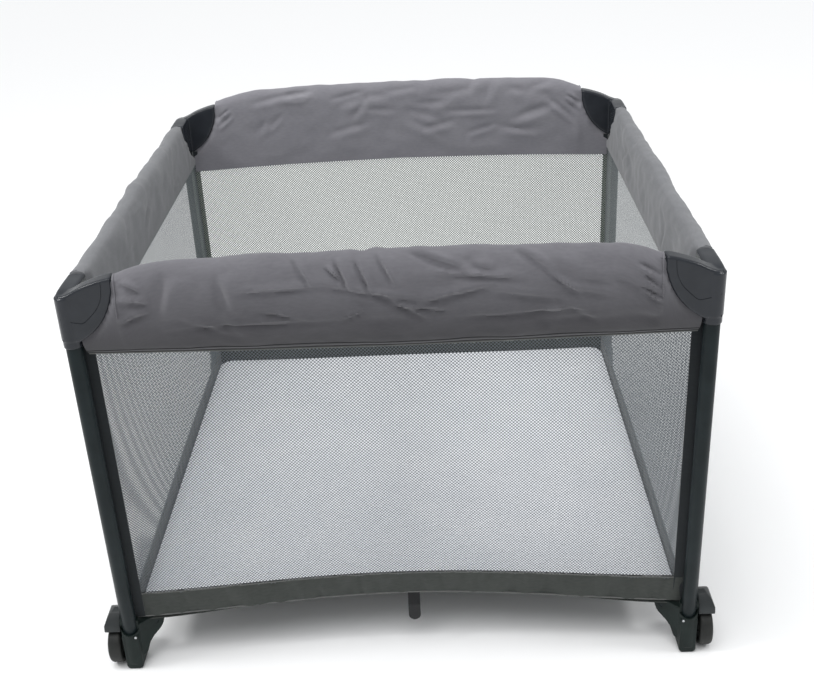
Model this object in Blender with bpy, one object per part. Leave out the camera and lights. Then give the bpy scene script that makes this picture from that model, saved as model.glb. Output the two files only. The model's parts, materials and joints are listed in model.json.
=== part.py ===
# Folding square playpen: four legs, corner castings, centre-latched top rails, a cross of floor tubes
# with a rising hub, two wheels, and plain solids for the cloth parts.
# Metres, +Z up, origin on the floor under the middle of the footprint, front side at -Y.
import math

import bmesh
import bpy
from mathutils import Matrix, Vector

# ---- driving dimensions ----
LEG_OFF = 0.480          # leg axis from the middle, along X and along Y
LEG_R = 0.0127           # 25.4 mm leg and rail tube
TUBE_WALL = 0.0012
LEG_FOOT_Z = 0.0445      # lower end of the leg tube, inside the foot
LEG_TOP_Z = 0.690        # upper end, inside the corner casting
GAP = 0.0003             # clearance between pieces that touch

COLLAR_R = 0.0162        # casting and foot collars round the leg
CAST_BOTTOM = 0.626
CAST_SIDE = 0.0140       # half thickness of a wing
CAST_WALL = 0.0030
WING_LEN = 0.0755        # wing tip from the leg axis
WING_FRONT_TOP = 0.7405  # rising wing, front and rear sides
WING_SIDE_TOP = 0.7145   # level wing, left and right sides
SLOT_HALF = 0.0108       # half width of the slot the rail end swings in

PIN_R = 0.0030
PIN_HOLE_R = 0.0034
PIN_HALF = 0.0126
BLIND_HALF = 0.0131      # blind pin holes stop inside the cheek

RAIL_PIVOT = 0.060       # rail pivot from the leg axis
LATCH_PIVOT = 0.034      # rail pivot from the middle of the latch
RAIL_Z_X = 0.722         # pivot height, front and rear rails
RAIL_Z_Y = 0.701         # pivot height, left and right rails
RAIL_RISE_X = 0.014      # the front and rear tubes run this much above their pivots
PLUG_HALF = 0.0100       # half width of a rail's end plug
PLUG_R = 0.0093          # half height of the plug and radius of its end
CAST_PLUG = 0.062        # plug length from its pivot to the tube, casting end
LATCH_PLUG = 0.034       # the same, latch end
LATCH_DROP = 0.0190      # the latch housing reaches this far below its pivots
FOLD_PIN_Z = 0.074       # floor tube pivots
LUG_PIVOT = 0.046        # floor tube pivot from the leg axis, along the diagonal
DIAG = LEG_OFF * math.sqrt(2)
HUB_PIVOT = (RAIL_PIVOT + LATCH_PIVOT) * math.sqrt(2) - LUG_PIVOT   # keeps every fold angle equal
FLOOR_R = 0.0095         # 19 mm floor tube
LUG_SIDE = 0.0128        # half width of a lug or hub fork
LUG_SLOT = 0.0100
LUG_TOP = 0.0878

WHEEL_R = 0.036
WHEEL_Y = 0.0192         # wheel axis behind the leg axis
WHEEL_IN, WHEEL_OUT = 0.0190, 0.0422    # wheel faces, outwards from the leg axis
FENDER_IN, FENDER_OUT = 0.0168, 0.0450
AXLE_R = 0.0030
WHEEL_BORE = 0.0035

WALL_IN = 0.016          # wall plane, inwards from the leg axes, just inside the rails
WALL_HALF = 0.456        # half width of a wall between the legs
HEM_Z = 0.6125
HEM_HALF = 0.0040        # half thickness of a cover at its hem
BAND_LOW, BAND_HIGH = 0.0925, 0.140
FLOOR_LOW, FLOOR_HIGH = 0.0850, 0.0875
FLOOR_EDGE = 0.4655
FLOOR_CORNER = 0.066     # floor cloth stops this far from the leg axis, along the diagonal
PAD_LOW, PAD_HIGH = 0.0888, 0.1180
PAD_HALF = 0.460
PAD_CORNER = 0.030
COVER_CROWN_X = 0.762
COVER_CROWN_Y = 0.7215
COVER_SIDE = 0.0168      # half width of a rail cover
CLOTH = 0.0020
COVER_START = 0.0210     # a cover starts this far from the leg axis, clear of its neighbour

SIDES = 16               # facets of a tube
CORNERS = {"fl": (-1, -1), "fr": (1, -1), "bl": (-1, 1), "br": (1, 1)}

COLOURS = {
    "leg_paint": ((0.022, 0.033, 0.036), 0.42, 0.0), "casting_grey": ((0.075, 0.083, 0.093), 0.38, 0.0),
    "foot_black": ((0.012, 0.018, 0.017), 0.55, 0.0), "fender_grey": ((0.045, 0.048, 0.050), 0.50, 0.0),
    "wheel_black": ((0.013, 0.013, 0.013), 0.70, 0.0), "steel": ((0.52, 0.52, 0.53), 0.30, 1.0),
    "hub_black": ((0.015, 0.015, 0.016), 0.55, 0.0), "button_red": ((0.30, 0.03, 0.03), 0.45, 0.0),
    "cover_cloth": ((0.150, 0.143, 0.150), 0.90, 0.0), "net_cloth": ((0.40, 0.42, 0.42), 0.85, 0.0),
    "floor_cloth": ((0.030, 0.034, 0.030), 0.90, 0.0), "pad_cloth": ((0.72, 0.74, 0.77), 0.85, 0.0),
    "webbing_black": ((0.008, 0.008, 0.009), 0.85, 0.0),
}


# ---- helpers ----
def clear_scene():
    for obj in list(bpy.data.objects):
        bpy.data.objects.remove(obj, do_unlink=True)


def material(name):
    mat = bpy.data.materials.get(name)
    if mat is None:
        colour, rough, metal = COLOURS[name]
        mat = bpy.data.materials.new(name)
        mat.use_nodes = True
        shader = mat.node_tree.nodes["Principled BSDF"]
        shader.inputs["Base Color"].default_value = (*colour, 1.0)
        shader.inputs["Roughness"].default_value = rough
        shader.inputs["Metallic"].default_value = metal
    return mat


def mesh_from(bm, name):
    bmesh.ops.recalc_face_normals(bm, faces=bm.faces)
    mesh = bpy.data.meshes.new(name)
    bm.to_mesh(mesh)
    bm.free()
    return mesh


def prism(points, low, high, axes="xz", name="prism"):
    """Closed prism: a polygon drawn in the plane named by axes, extruded along the third axis."""
    u, v = ("xyz".index(a) for a in axes)
    w = 3 - u - v
    bm = bmesh.new()
    rings = []
    for level in (low, high):
        ring = []
        for a, b in points:
            co = [0.0, 0.0, 0.0]
            co[u], co[v], co[w] = a, b, level
            ring.append(bm.verts.new(co))
        rings.append(ring)
    bm.faces.new(rings[0])
    bm.faces.new(list(reversed(rings[1])))
    count = len(points)
    for i in range(count):
        j = (i + 1) % count
        bm.faces.new((rings[0][i], rings[1][i], rings[1][j], rings[0][j]))
    return mesh_from(bm, name)


def box(low, high):
    return prism([(low[0], low[1]), (high[0], low[1]), (high[0], high[1]), (low[0], high[1])],
                 low[2], high[2], "xy")


def rod(start, end, radius, sides=SIDES):
    """Closed round bar between two points."""
    start, end = Vector(start), Vector(end)
    run = end - start
    bm = bmesh.new()
    turn = run.to_track_quat("Z", "Y").to_matrix().to_4x4()
    place = Matrix.Translation((start + end) / 2) @ turn
    bmesh.ops.create_cone(bm, cap_ends=True, cap_tris=False, segments=sides, radius1=radius,
                          radius2=radius, depth=run.length, matrix=place)
    return mesh_from(bm, "rod")


def sweep(path, radius, sides=SIDES):
    """Closed round bar along a bent path that lies in a plane of constant Y."""
    bm = bmesh.new()
    rings = []
    for i, point in enumerate(path):
        before, after = path[max(i - 1, 0)], path[min(i + 1, len(path) - 1)]
        run = (Vector(after) - Vector(before)).normalized()
        side = Vector((0, 1, 0))
        up = run.cross(side)
        ring = []
        for k in range(sides):
            a = 2 * math.pi * (k + 0.5) / sides
            ring.append(bm.verts.new(Vector(point) + radius * (math.cos(a) * side + math.sin(a) * up)))
        rings.append(ring)
    for one, two in zip(rings, rings[1:]):
        for k in range(sides):
            j = (k + 1) % sides
            bm.faces.new((one[k], one[j], two[j], two[k]))
    bm.faces.new(rings[0])
    bm.faces.new(list(reversed(rings[-1])))
    return mesh_from(bm, "sweep")


def lathe(profile, sides):
    """Closed ring turned about X from a closed profile of (x, radius)."""
    bm = bmesh.new()
    rings = []
    for k in range(sides):
        a = 2 * math.pi * k / sides
        rings.append([bm.verts.new((x, r * math.cos(a), r * math.sin(a))) for x, r in profile])
    count = len(profile)
    for k in range(sides):
        one, two = rings[k], rings[(k + 1) % sides]
        for i in range(count):
            j = (i + 1) % count
            bm.faces.new((one[i], one[j], two[j], two[i]))
    return mesh_from(bm, "lathe")


def combine(base, tools, operation):
    """Boolean of closed meshes; returns the new mesh."""
    work = bpy.data.objects.new("work", base)
    bpy.context.scene.collection.objects.link(work)
    helpers = []
    for tool in tools:
        helper = bpy.data.objects.new("cutter", tool)
        helper.hide_render = True
        helper.display_type = "WIRE"
        bpy.context.scene.collection.objects.link(helper)
        helpers.append(helper)
        mod = work.modifiers.new("cut", "BOOLEAN")
        mod.operation = operation
        mod.solver = "EXACT"
        mod.object = helper
    graph = bpy.context.evaluated_depsgraph_get()
    result = bpy.data.meshes.new_from_object(work.evaluated_get(graph))
    for obj in [work] + helpers:
        bpy.data.objects.remove(obj, do_unlink=True)
    result.materials.clear()
    return result


def cut(base, *tools):
    return combine(base, tools, "DIFFERENCE")


def join(base, *tools):
    return combine(base, tools, "UNION")


def moved(mesh, matrix):
    """Copy of a mesh under a matrix, turned the right way out if the matrix mirrors."""
    copy = mesh.copy()
    copy.transform(matrix)
    if matrix.determinant() < 0:
        copy.flip_normals()
    return copy


def mirrored(mesh, corner):
    """Corner pieces are drawn with +X and +Y pointing inwards from the leg axis."""
    sx, sy = CORNERS[corner]
    return moved(mesh, Matrix.Diagonal((-sx, -sy, 1, 1)))


def place(name, mesh, mat, location=(0, 0, 0), parent=None, smooth=35.0):
    obj = bpy.data.objects.new(name, mesh)
    mesh.name = name
    bpy.context.scene.collection.objects.link(obj)
    obj.location = location
    mesh.materials.append(material(mat))
    mesh.shade_smooth()
    mesh.set_sharp_from_angle(angle=math.radians(smooth))
    if parent is not None:
        obj.parent = parent
        obj.matrix_parent_inverse = Matrix.Translation(-Vector(parent.location))
    return obj


def pivot(name, location):
    """Empty on a joint's axis; the pieces that turn on it hang from it."""
    empty = bpy.data.objects.new(name, None)
    empty.location = location
    empty.empty_display_size = 0.03
    bpy.context.scene.collection.objects.link(empty)
    return empty


def turned_diagonal(mesh):
    """A piece drawn along +X is turned to run along the +X +Y diagonal."""
    return moved(mesh, Matrix.Rotation(math.radians(45), 4, "Z"))


def leg_at(corner):
    sx, sy = CORNERS[corner]
    return Vector((sx * LEG_OFF, sy * LEG_OFF, 0))


# ---- corner castings ----
def wing_outline(top, rise):
    """Side view of a wing: rising or level top edge, blunt tip, curved lower edge down to the collar."""
    tip = WING_LEN
    drop = top - rise
    return [(-0.004, 0.640), (0.0140, 0.6365), (0.020, 0.6420), (0.038, 0.6530), (0.0555, 0.671 - drop * 0.3),
            (0.069, 0.6955 - drop * 0.7), (tip, 0.7155 - drop), (tip, top - drop), (0.045, 0.7315 - drop * 0.62),
            (0.016, 0.7215 - drop * 0.28), (-0.004, 0.712)]


def casting_mesh():
    front_drop, side_drop = 0.0, WING_FRONT_TOP - WING_SIDE_TOP
    outlines = []
    for drop in (front_drop, side_drop):
        outlines.append(wing_outline(WING_FRONT_TOP, WING_FRONT_TOP - drop))
    body = prism(outlines[0], -CAST_SIDE, CAST_SIDE, "xz")
    side = prism(outlines[1], -CAST_SIDE, CAST_SIDE, "yz")
    collar = rod((0, 0, CAST_BOTTOM), (0, 0, 0.7065), COLLAR_R, 20)
    cap = rod((0, 0, 0.7060), (0, 0, 0.7120), COLLAR_R * 0.86, 20)
    body = join(body, side, collar, cap)
    bore = rod((0, 0, CAST_BOTTOM - 0.01), (0, 0, LEG_TOP_Z + 0.003), LEG_R + GAP, SIDES)
    slots = []
    for outline, axes in ((outlines[0], "xz"), (outlines[1], "yz")):
        roof = [(u, w - CAST_WALL) for u, w in outline[7:10]]
        slot = [(0.0195, 0.600), (WING_LEN + 0.010, 0.600), (WING_LEN + 0.010, roof[0][1] + 0.003)] + \
               [roof[0], roof[1], (0.0195, roof[2][1])]
        slots.append(prism(slot, -SLOT_HALF, SLOT_HALF, axes))
    pin_x = rod((RAIL_PIVOT, -BLIND_HALF, RAIL_Z_X), (RAIL_PIVOT, BLIND_HALF, RAIL_Z_X), PIN_HOLE_R, 12)
    pin_y = rod((-BLIND_HALF, RAIL_PIVOT, RAIL_Z_Y), (BLIND_HALF, RAIL_PIVOT, RAIL_Z_Y), PIN_HOLE_R, 12)
    return cut(body, bore, slots[0], slots[1], pin_x, pin_y)


# ---- feet, fenders and wheels ----
def lug_outline():
    return [(0.0, 0.018), (0.0215, 0.024), (0.030, 0.042), (0.052, 0.056), (0.0605, 0.068),
            (0.0615, LUG_TOP), (0.0, LUG_TOP)]


def foot_mesh(with_wheel):
    deep = 0.0280 if with_wheel else 0.0225
    block = box((-0.0140, -0.0140, 0.0), (0.0148, deep, 0.072))
    lug = turned_diagonal(prism(lug_outline(), -LUG_SIDE, LUG_SIDE, "xz"))
    collar = rod((0, 0, 0.012), (0, 0, 0.0980), COLLAR_R, 20)
    tools = [lug, collar]
    if with_wheel:
        tools.append(box((-0.0164, 0.0040, 0.030), (-0.010, deep, 0.100)))
    body = join(block, *tools)
    socket = rod((0, 0, LEG_FOOT_Z - 0.001), (0, 0, 0.12), LEG_R + GAP, SIDES)
    slot = turned_diagonal(prism([(0.0320, 0.0600), (0.075, 0.0500), (0.075, 0.12), (0.0320, 0.12)],
                                 -LUG_SLOT, LUG_SLOT, "xz"))
    hole = turned_diagonal(rod((LUG_PIVOT, -0.02, FOLD_PIN_Z), (LUG_PIVOT, 0.02, FOLD_PIN_Z), PIN_HOLE_R, 12))
    scoop = rod((0.003, -0.030, 0.0900), (0.003, -0.004, 0.0900), 0.0165, 20)
    tools = [socket, slot, hole, scoop]
    if with_wheel:
        tools.append(rod((-0.030, WHEEL_Y, WHEEL_R), (-0.0005, WHEEL_Y, WHEEL_R), AXLE_R + GAP, 12))
    return cut(body, *tools)


def soften(mesh, width, angle=30):
    """Bevel the sharp edges of a simple closed mesh."""
    bm = bmesh.new()
    bm.from_mesh(mesh)
    edges = [e for e in bm.edges if len(e.link_faces) == 2 and e.calc_face_angle(0) > math.radians(angle)]
    bmesh.ops.bevel(bm, geom=edges, offset=width, segments=1, affect="EDGES", clamp_overlap=True)
    return mesh_from(bm, mesh.name)


def fender_mesh():
    """Hood over the wheel: upright front facet, sloping top facet, hollow round the tread."""
    clear = WHEEL_R + 0.0030
    arc = [math.radians(a) for a in (118, 100, 82, 64, 46, 30)]
    inner = [(WHEEL_Y + clear * math.cos(math.pi - a) * -1, WHEEL_R + clear * math.sin(a)) for a in arc]
    front = (inner[0][0] - 0.0010, inner[0][1] + 0.0010)
    roof = [(0.0420, 0.0590), (0.0320, 0.0860), (0.0140, 0.1060), (-0.0020, 0.1075), (-0.0170, 0.0880)]
    outer = [(WHEEL_Y + y, z) for y, z in roof] + [(front[0] - 0.0040, front[1] + 0.0040)]
    hood = prism(inner + outer, -FENDER_OUT, -FENDER_IN, "yz")
    return soften(hood, 0.0014, 40)


def wheel_mesh():
    half = (WHEEL_OUT - WHEEL_IN) / 2
    profile = [(-half * 0.62, WHEEL_BORE), (-half * 0.62, 0.010), (-half * 0.50, 0.024), (-half * 0.86, 0.0275),
               (-half, 0.0305), (-half * 0.80, 0.0342), (-half * 0.35, WHEEL_R)]
    profile += [(-x, r) for x, r in reversed(profile)]
    return lathe(profile, 28)


def axle_mesh():
    shaft = rod((-0.0443, 0, 0), (-0.0010, 0, 0), AXLE_R, 12)
    head = rod((-0.0446, 0, 0), (-WHEEL_OUT + 0.0020, 0, 0), 0.0058, 12)
    return join(shaft, head)


# ---- tubes ----
def leg_mesh():
    tube = rod((0, 0, LEG_FOOT_Z), (0, 0, LEG_TOP_Z), LEG_R)
    return cut(tube, rod((0, 0, LEG_FOOT_Z - 0.01), (0, 0, LEG_TOP_Z + 0.01), LEG_R - TUBE_WALL))


def plug(start, end):
    """Flat bar with a round end at its pivot, drawn in the XZ plane from start towards end."""
    start, end = Vector((start[0], start[1])), Vector((end[0], end[1]))
    run = (end - start).normalized()
    up = Vector((-run.y, run.x))
    points = []
    for k in range(9):
        a = math.pi / 2 + math.pi * k / 8
        points.append(start + PLUG_R * (math.cos(a) * run + math.sin(a) * up))
    points += [end - PLUG_R * up, end + PLUG_R * up]
    return prism([(p.x, p.y) for p in points], -PLUG_HALF, PLUG_HALF, "xz")


def pin(x, z, half=PIN_HALF):
    return rod((x, -half, z), (x, half, z), PIN_R, 12)


def rail_mesh(rise):
    """Half a top rail, drawn along +X from its casting pivot at the origin to its latch pivot."""
    length = LEG_OFF - RAIL_PIVOT - LATCH_PIVOT
    start, end = CAST_PLUG, length - LATCH_PLUG
    path = [(start, 0, rise * 0.86), (start + 0.03, 0, rise), (end, 0, rise)]
    inner = [(start + 0.012, 0, rise * 0.93), (start + 0.03, 0, rise), (end - 0.012, 0, rise)]
    body = join(sweep(path, LEG_R), plug((0, 0), (start + 0.010, rise)),
                plug((length, 0), (end - 0.010, rise)), pin(0, 0), pin(length, 0))
    drain = rod((length / 2, 0, rise - LEG_R - 0.01), (length / 2, 0, rise), 0.0025, 8)
    return cut(body, sweep(inner, LEG_R - TUBE_WALL), drain)


def floor_tube_mesh():
    """Floor tube along +X from its lug pivot at the origin to its hub pivot."""
    length = DIAG - LUG_PIVOT - HUB_PIVOT
    tube = rod((-0.0085, 0, 0), (length + 0.0085, 0, 0), FLOOR_R)
    hollow = rod((0.012, 0, 0), (length - 0.012, 0, 0), FLOOR_R - TUBE_WALL)
    drain = rod((length / 2, 0, -0.02), (length / 2, 0, 0), 0.0025, 8)
    return cut(join(tube, pin(0, 0, 0.0122), pin(length, 0, 0.0122)), hollow, drain)


def hub_mesh():
    """Four-forked hub that the floor tubes pivot in."""
    low, high = 0.0600, 0.0846
    hub = rod((0, 0, low), (0, 0, high), 0.058, 24)
    reach = HUB_PIVOT + 0.012
    arms, tools = [], []
    for k in range(4):
        turn = Matrix.Rotation(math.radians(45 + 90 * k), 4, "Z")
        arms.append(moved(box((0.030, -LUG_SIDE, low), (reach, LUG_SIDE, high)), turn))
        tools.append(moved(box((HUB_PIVOT - 0.0136, -LUG_SLOT, low - 0.01),
                               (reach + 0.01, LUG_SLOT, high + 0.01)), turn))
        tools.append(moved(rod((HUB_PIVOT, -0.02, FOLD_PIN_Z), (HUB_PIVOT, 0.02, FOLD_PIN_Z),
                               PIN_HOLE_R, 12), turn))
    return cut(join(hub, *arms), *tools)


# ---- latches ----
def latch_mesh():
    """Latch housing drawn along X, pivots at z = 0: two open forks and a pocket for the button."""
    side = [(CAST_SIDE, GAP - LATCH_DROP), (CAST_SIDE, 0.0040), (0.0090, 0.0115)]
    shell = prism(side + [(-y, z) for y, z in reversed(side)], -0.046, 0.046, "yz")
    forks = [box((0.0215 * s if s > 0 else -0.06, -SLOT_HALF, -0.03),
                 (0.06 if s > 0 else -0.0215, SLOT_HALF, 0.03)) for s in (-1, 1)]
    pocket = box((-0.0185, -0.0090, -0.03), (0.0185, 0.0090, 0.0060))
    holes = [rod((s * LATCH_PIVOT, -BLIND_HALF, 0), (s * LATCH_PIVOT, BLIND_HALF, 0), PIN_HOLE_R, 12)
             for s in (-1, 1)]
    return cut(shell, pocket, *forks, *holes)


def button_mesh():
    return soften(box((-0.0180, -0.0085, -0.0270), (0.0180, 0.0085, -0.0035)), 0.0015)


# ---- cloth parts ----
def cover_mesh(crown, axis_z, shoulder, outline):
    """Half a rail cover along +X from the leg axis to the middle, outwards is -Y: a sheet folded over
    the rail whose two sides come together at the hem, cut away round the wing."""
    steps, base = 8, axis_z + 0.002
    arc = [(-math.cos(math.pi * k / steps), math.sin(math.pi * k / steps)) for k in range(steps + 1)]
    outer = [(COVER_SIDE * c, base + (crown - base) * s) for c, s in arc]
    inner = [((COVER_SIDE - CLOTH) * c, base + (crown - CLOTH - base) * s) for c, s in reversed(arc)]
    near, far, wide = WALL_IN - HEM_HALF, WALL_IN + HEM_HALF, COVER_SIDE - CLOTH
    section = [(near, HEM_Z), (-COVER_SIDE, shoulder)] + outer + [(COVER_SIDE, shoulder), (far, HEM_Z)]
    section += [(far - CLOTH, HEM_Z), (wide, shoulder)] + inner + [(-wide, shoulder), (near + CLOTH, HEM_Z)]
    sheet = prism(section, COVER_START, LEG_OFF - 0.0004, "yz")
    around = [(-0.01, 0.60), (0.0165, 0.60)] + [(u + 0.0015, z - 0.0015) for u, z in outline[2:7]]
    around += [(WING_LEN + 0.0015, 0.80), (-0.01, 0.80)]
    return cut(sheet, prism(around, -0.05, 0.05, "xz"))


def wall_mesh():
    """Wall along X, outwards is -Y: a net sheet with a thicker band at its lower edge."""
    section = [(-0.0020, BAND_LOW), (0.0020, BAND_LOW), (0.0020, BAND_HIGH), (0.0010, BAND_HIGH),
               (0.0010, HEM_Z + 0.013), (-0.0010, HEM_Z + 0.013), (-0.0010, BAND_HIGH), (-0.0020, BAND_HIGH)]
    return prism(section, -WALL_HALF, WALL_HALF, "yz")


def floor_mesh():
    """Quarter of the floor cloth, drawn in the +X +Y quarter."""
    edge = FLOOR_EDGE
    turn = (DIAG - FLOOR_CORNER) * math.sqrt(2) - edge
    return prism([(GAP, GAP), (edge, GAP), (edge, turn), (turn, edge), (GAP, edge)], FLOOR_LOW, FLOOR_HIGH, "xy")


def pad_mesh():
    """Quarter of the mattress pad, drawn in the +X +Y quarter, with its outer corner rounded."""
    points = [(GAP, GAP), (PAD_HALF, GAP)]
    centre = PAD_HALF - PAD_CORNER
    for k in range(5):
        a = math.pi / 2 * k / 4
        points.append((centre + PAD_CORNER * math.cos(a), centre + PAD_CORNER * math.sin(a)))
    points.append((GAP, PAD_HALF))
    return prism(points, PAD_LOW, PAD_HIGH, "xy")


def strap_mesh():
    """Webbing tab with a rounded lower end."""
    half, low, high = 0.0105, 0.0500, FLOOR_LOW - GAP
    points = [(-half, high), (half, high)]
    for k in range(7):
        a = -math.pi * k / 6
        points.append((half * math.cos(a), low + half + half * math.sin(a)))
    return prism(points, -0.0010, 0.0010, "xz")


# ---- assembly ----
def build_corner(corner, meshes):
    at = leg_at(corner)
    rig = pivot("leg_pivot_" + corner, at)
    front = corner in ("fl", "fr")
    place("leg_" + corner, meshes["leg"].copy(), "leg_paint", at, rig)
    place("casting_" + corner, mirrored(meshes["casting"], corner), "casting_grey", at, rig)
    place("foot_" + corner, mirrored(meshes["foot_wheel" if front else "foot"], corner), "foot_black", at, rig)
    if front:
        place("fender_" + corner, mirrored(meshes["fender"], corner), "fender_grey", at, rig)
        out = CORNERS[corner][0]
        hub = pivot("wheel_pivot_" + corner, at + Vector((0, WHEEL_Y, WHEEL_R)))
        middle = at + Vector((out * (WHEEL_IN + WHEEL_OUT) / 2, WHEEL_Y, WHEEL_R))
        place("axle_" + corner, mirrored(meshes["axle"], corner), "steel", at + Vector((0, WHEEL_Y, WHEEL_R)), hub)
        place("wheel_" + corner, meshes["wheel"].copy(), "wheel_black", middle, hub)


def build_floor(corner, meshes):
    sx, sy = CORNERS[corner]
    inward = Vector((-sx, -sy, 0)).normalized()
    lug = leg_at(corner) + inward * LUG_PIVOT + Vector((0, 0, FOLD_PIN_Z))
    rig = pivot("floor_pivot_" + corner, lug)
    angle = math.atan2(inward.y, inward.x)
    place("floor_tube_" + corner, moved(meshes["floor_tube"], Matrix.Rotation(angle, 4, "Z")),
          "leg_paint", lug, rig)
    outward = Matrix.Diagonal((sx, sy, 1, 1))
    place("floor_" + corner, moved(meshes["floor"], outward), "floor_cloth", (0, 0, 0), rig)
    place("mattress_" + corner, moved(meshes["pad"], outward), "pad_cloth", (0, 0, 0), rig)


def build_side(side, meshes):
    """One top rail with its two covers, its latch and the wall below it."""
    along_x = side in ("front", "rear")
    height = RAIL_Z_X if along_x else RAIL_Z_Y
    kind = "x" if along_x else "y"
    turn = {"front": 0, "rear": 0, "left": 90, "right": 90}[side]
    out = {"front": Vector((0, -1, 0)), "rear": Vector((0, 1, 0)),
           "left": Vector((-1, 0, 0)), "right": Vector((1, 0, 0))}[side]
    spin = Matrix.Rotation(math.radians(turn), 4, "Z")
    run = (spin @ Vector((1, 0, 0, 0))).to_3d()
    flip = Matrix.Diagonal((-1, 1, 1, 1))
    # sheets drawn with their outer face at -Y are turned to face the side's outside
    face = Matrix.Diagonal((1, -1 if side in ("rear", "left") else 1, 1, 1))
    middle = out * LEG_OFF
    for half, sign in (("a", -1), ("b", 1)):
        end = middle + run * sign * (LEG_OFF - RAIL_PIVOT) + Vector((0, 0, height))
        rig = pivot("rail_pivot_" + side + "_" + half, end)
        way = Matrix.Identity(4) if sign < 0 else flip
        place("rail_" + side + "_" + half, moved(meshes["rail_" + kind], spin @ way), "leg_paint", end, rig)
        corner_at = middle + run * sign * LEG_OFF
        place("cover_" + side + "_" + half, moved(meshes["cover_" + kind], spin @ way @ face), "cover_cloth",
              corner_at, rig)
    hinge = pivot("latch_pivot_" + side, middle - run * LATCH_PIVOT + Vector((0, 0, height)))
    centre = middle + Vector((0, 0, height))
    place("latch_" + side, moved(meshes["latch"], spin), "hub_black", centre, hinge)
    place("button_" + side, moved(meshes["button"], spin), "button_red", centre, hinge)
    place("wall_" + side, moved(meshes["wall"], spin), "net_cloth", middle - out * WALL_IN)


def main():
    clear_scene()
    drop = WING_FRONT_TOP - WING_SIDE_TOP
    rise_wing = wing_outline(WING_FRONT_TOP, WING_FRONT_TOP)
    level_wing = wing_outline(WING_FRONT_TOP, WING_FRONT_TOP - drop)
    meshes = {
        "leg": leg_mesh(), "casting": casting_mesh(), "foot": foot_mesh(False), "foot_wheel": foot_mesh(True),
        "fender": fender_mesh(), "wheel": wheel_mesh(), "axle": axle_mesh(), "floor_tube": floor_tube_mesh(),
        "rail_x": rail_mesh(RAIL_RISE_X), "rail_y": rail_mesh(0.0), "latch": latch_mesh(),
        "button": button_mesh(), "wall": wall_mesh(), "floor": floor_mesh(), "pad": pad_mesh(),
        "cover_x": cover_mesh(COVER_CROWN_X, RAIL_Z_X + RAIL_RISE_X, RAIL_Z_X - LATCH_DROP, rise_wing),
        "cover_y": cover_mesh(COVER_CROWN_Y, RAIL_Z_Y, RAIL_Z_Y - LATCH_DROP, level_wing),
    }
    for corner in CORNERS:
        build_corner(corner, meshes)
        build_floor(corner, meshes)
    for side in ("front", "rear", "left", "right"):
        build_side(side, meshes)
    place("hub", hub_mesh(), "hub_black")
    place("strap_tab", strap_mesh(), "webbing_black", (0.012, -0.447, 0))


main()
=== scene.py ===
# %% [markdown]
# # A folding playpen, dressed round its working frame
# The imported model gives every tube, pivot and pin. This lesson puts the real surfaces on it: moulded
# corners and feet, coated tubes, padded cloth over the top rails, net walls, a hemmed base band and a
# soft floor mat. Each new piece rides on one of the frame's bodies, so the pen still folds.

# %% Load the frame
import json
import math
from contextlib import contextmanager

import bmesh
import bpy
import numpy as np
from mathutils import Matrix, Vector, noise


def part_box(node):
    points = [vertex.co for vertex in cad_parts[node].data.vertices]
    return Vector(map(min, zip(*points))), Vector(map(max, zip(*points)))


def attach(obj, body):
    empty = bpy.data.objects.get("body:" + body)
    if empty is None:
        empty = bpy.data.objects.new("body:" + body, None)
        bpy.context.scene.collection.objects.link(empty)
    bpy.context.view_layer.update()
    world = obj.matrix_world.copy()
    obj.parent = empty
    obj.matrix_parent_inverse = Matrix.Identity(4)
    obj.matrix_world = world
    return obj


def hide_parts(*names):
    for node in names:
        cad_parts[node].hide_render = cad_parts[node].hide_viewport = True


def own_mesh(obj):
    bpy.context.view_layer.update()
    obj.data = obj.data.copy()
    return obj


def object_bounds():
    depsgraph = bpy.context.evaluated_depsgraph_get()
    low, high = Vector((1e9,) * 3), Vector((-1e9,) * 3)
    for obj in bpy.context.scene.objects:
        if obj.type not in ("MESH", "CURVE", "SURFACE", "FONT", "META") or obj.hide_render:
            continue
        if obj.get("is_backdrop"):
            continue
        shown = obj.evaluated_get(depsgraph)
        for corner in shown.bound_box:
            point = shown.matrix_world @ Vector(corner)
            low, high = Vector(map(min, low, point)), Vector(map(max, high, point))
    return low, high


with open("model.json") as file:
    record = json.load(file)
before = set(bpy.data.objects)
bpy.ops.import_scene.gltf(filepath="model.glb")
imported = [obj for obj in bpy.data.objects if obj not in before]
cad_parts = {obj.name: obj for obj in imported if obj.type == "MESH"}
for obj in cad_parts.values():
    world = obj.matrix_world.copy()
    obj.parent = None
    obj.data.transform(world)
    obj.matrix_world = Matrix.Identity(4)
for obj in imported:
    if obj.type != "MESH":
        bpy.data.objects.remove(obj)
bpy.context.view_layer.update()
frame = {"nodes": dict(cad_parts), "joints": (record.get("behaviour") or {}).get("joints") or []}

MM = 0.001
X, Y, Z = Vector((1, 0, 0)), Vector((0, 1, 0)), Vector((0, 0, 1))

# %% [markdown]
# ## The camera and the room
# A playpen is looked at from standing height, a little from the right, with the camera tipped down and
# not quite level. The room is a wide pale floor under a soft ceiling, with a window to either side, so
# that the glossy corners catch a highlight and the cloth shades softly.

# %% Camera
def aim(yaw, pitch, roll, place):
    """Camera matrix that looks along +Y, turned by yaw, tipped down by pitch and rolled."""
    yaw, pitch, roll = (math.radians(a) for a in (yaw, pitch, roll))
    ahead = Vector((math.sin(yaw) * math.cos(pitch), math.cos(yaw) * math.cos(pitch), -math.sin(pitch)))
    right = Vector((math.cos(yaw), -math.sin(yaw), 0))
    up = right.cross(ahead)
    cam_x = right * math.cos(roll) + up * math.sin(roll)
    cam_y = up * math.cos(roll) - right * math.sin(roll)
    turn = Matrix((cam_x, cam_y, -ahead)).transposed().to_4x4()
    return Matrix.Translation(place) @ turn


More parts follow.
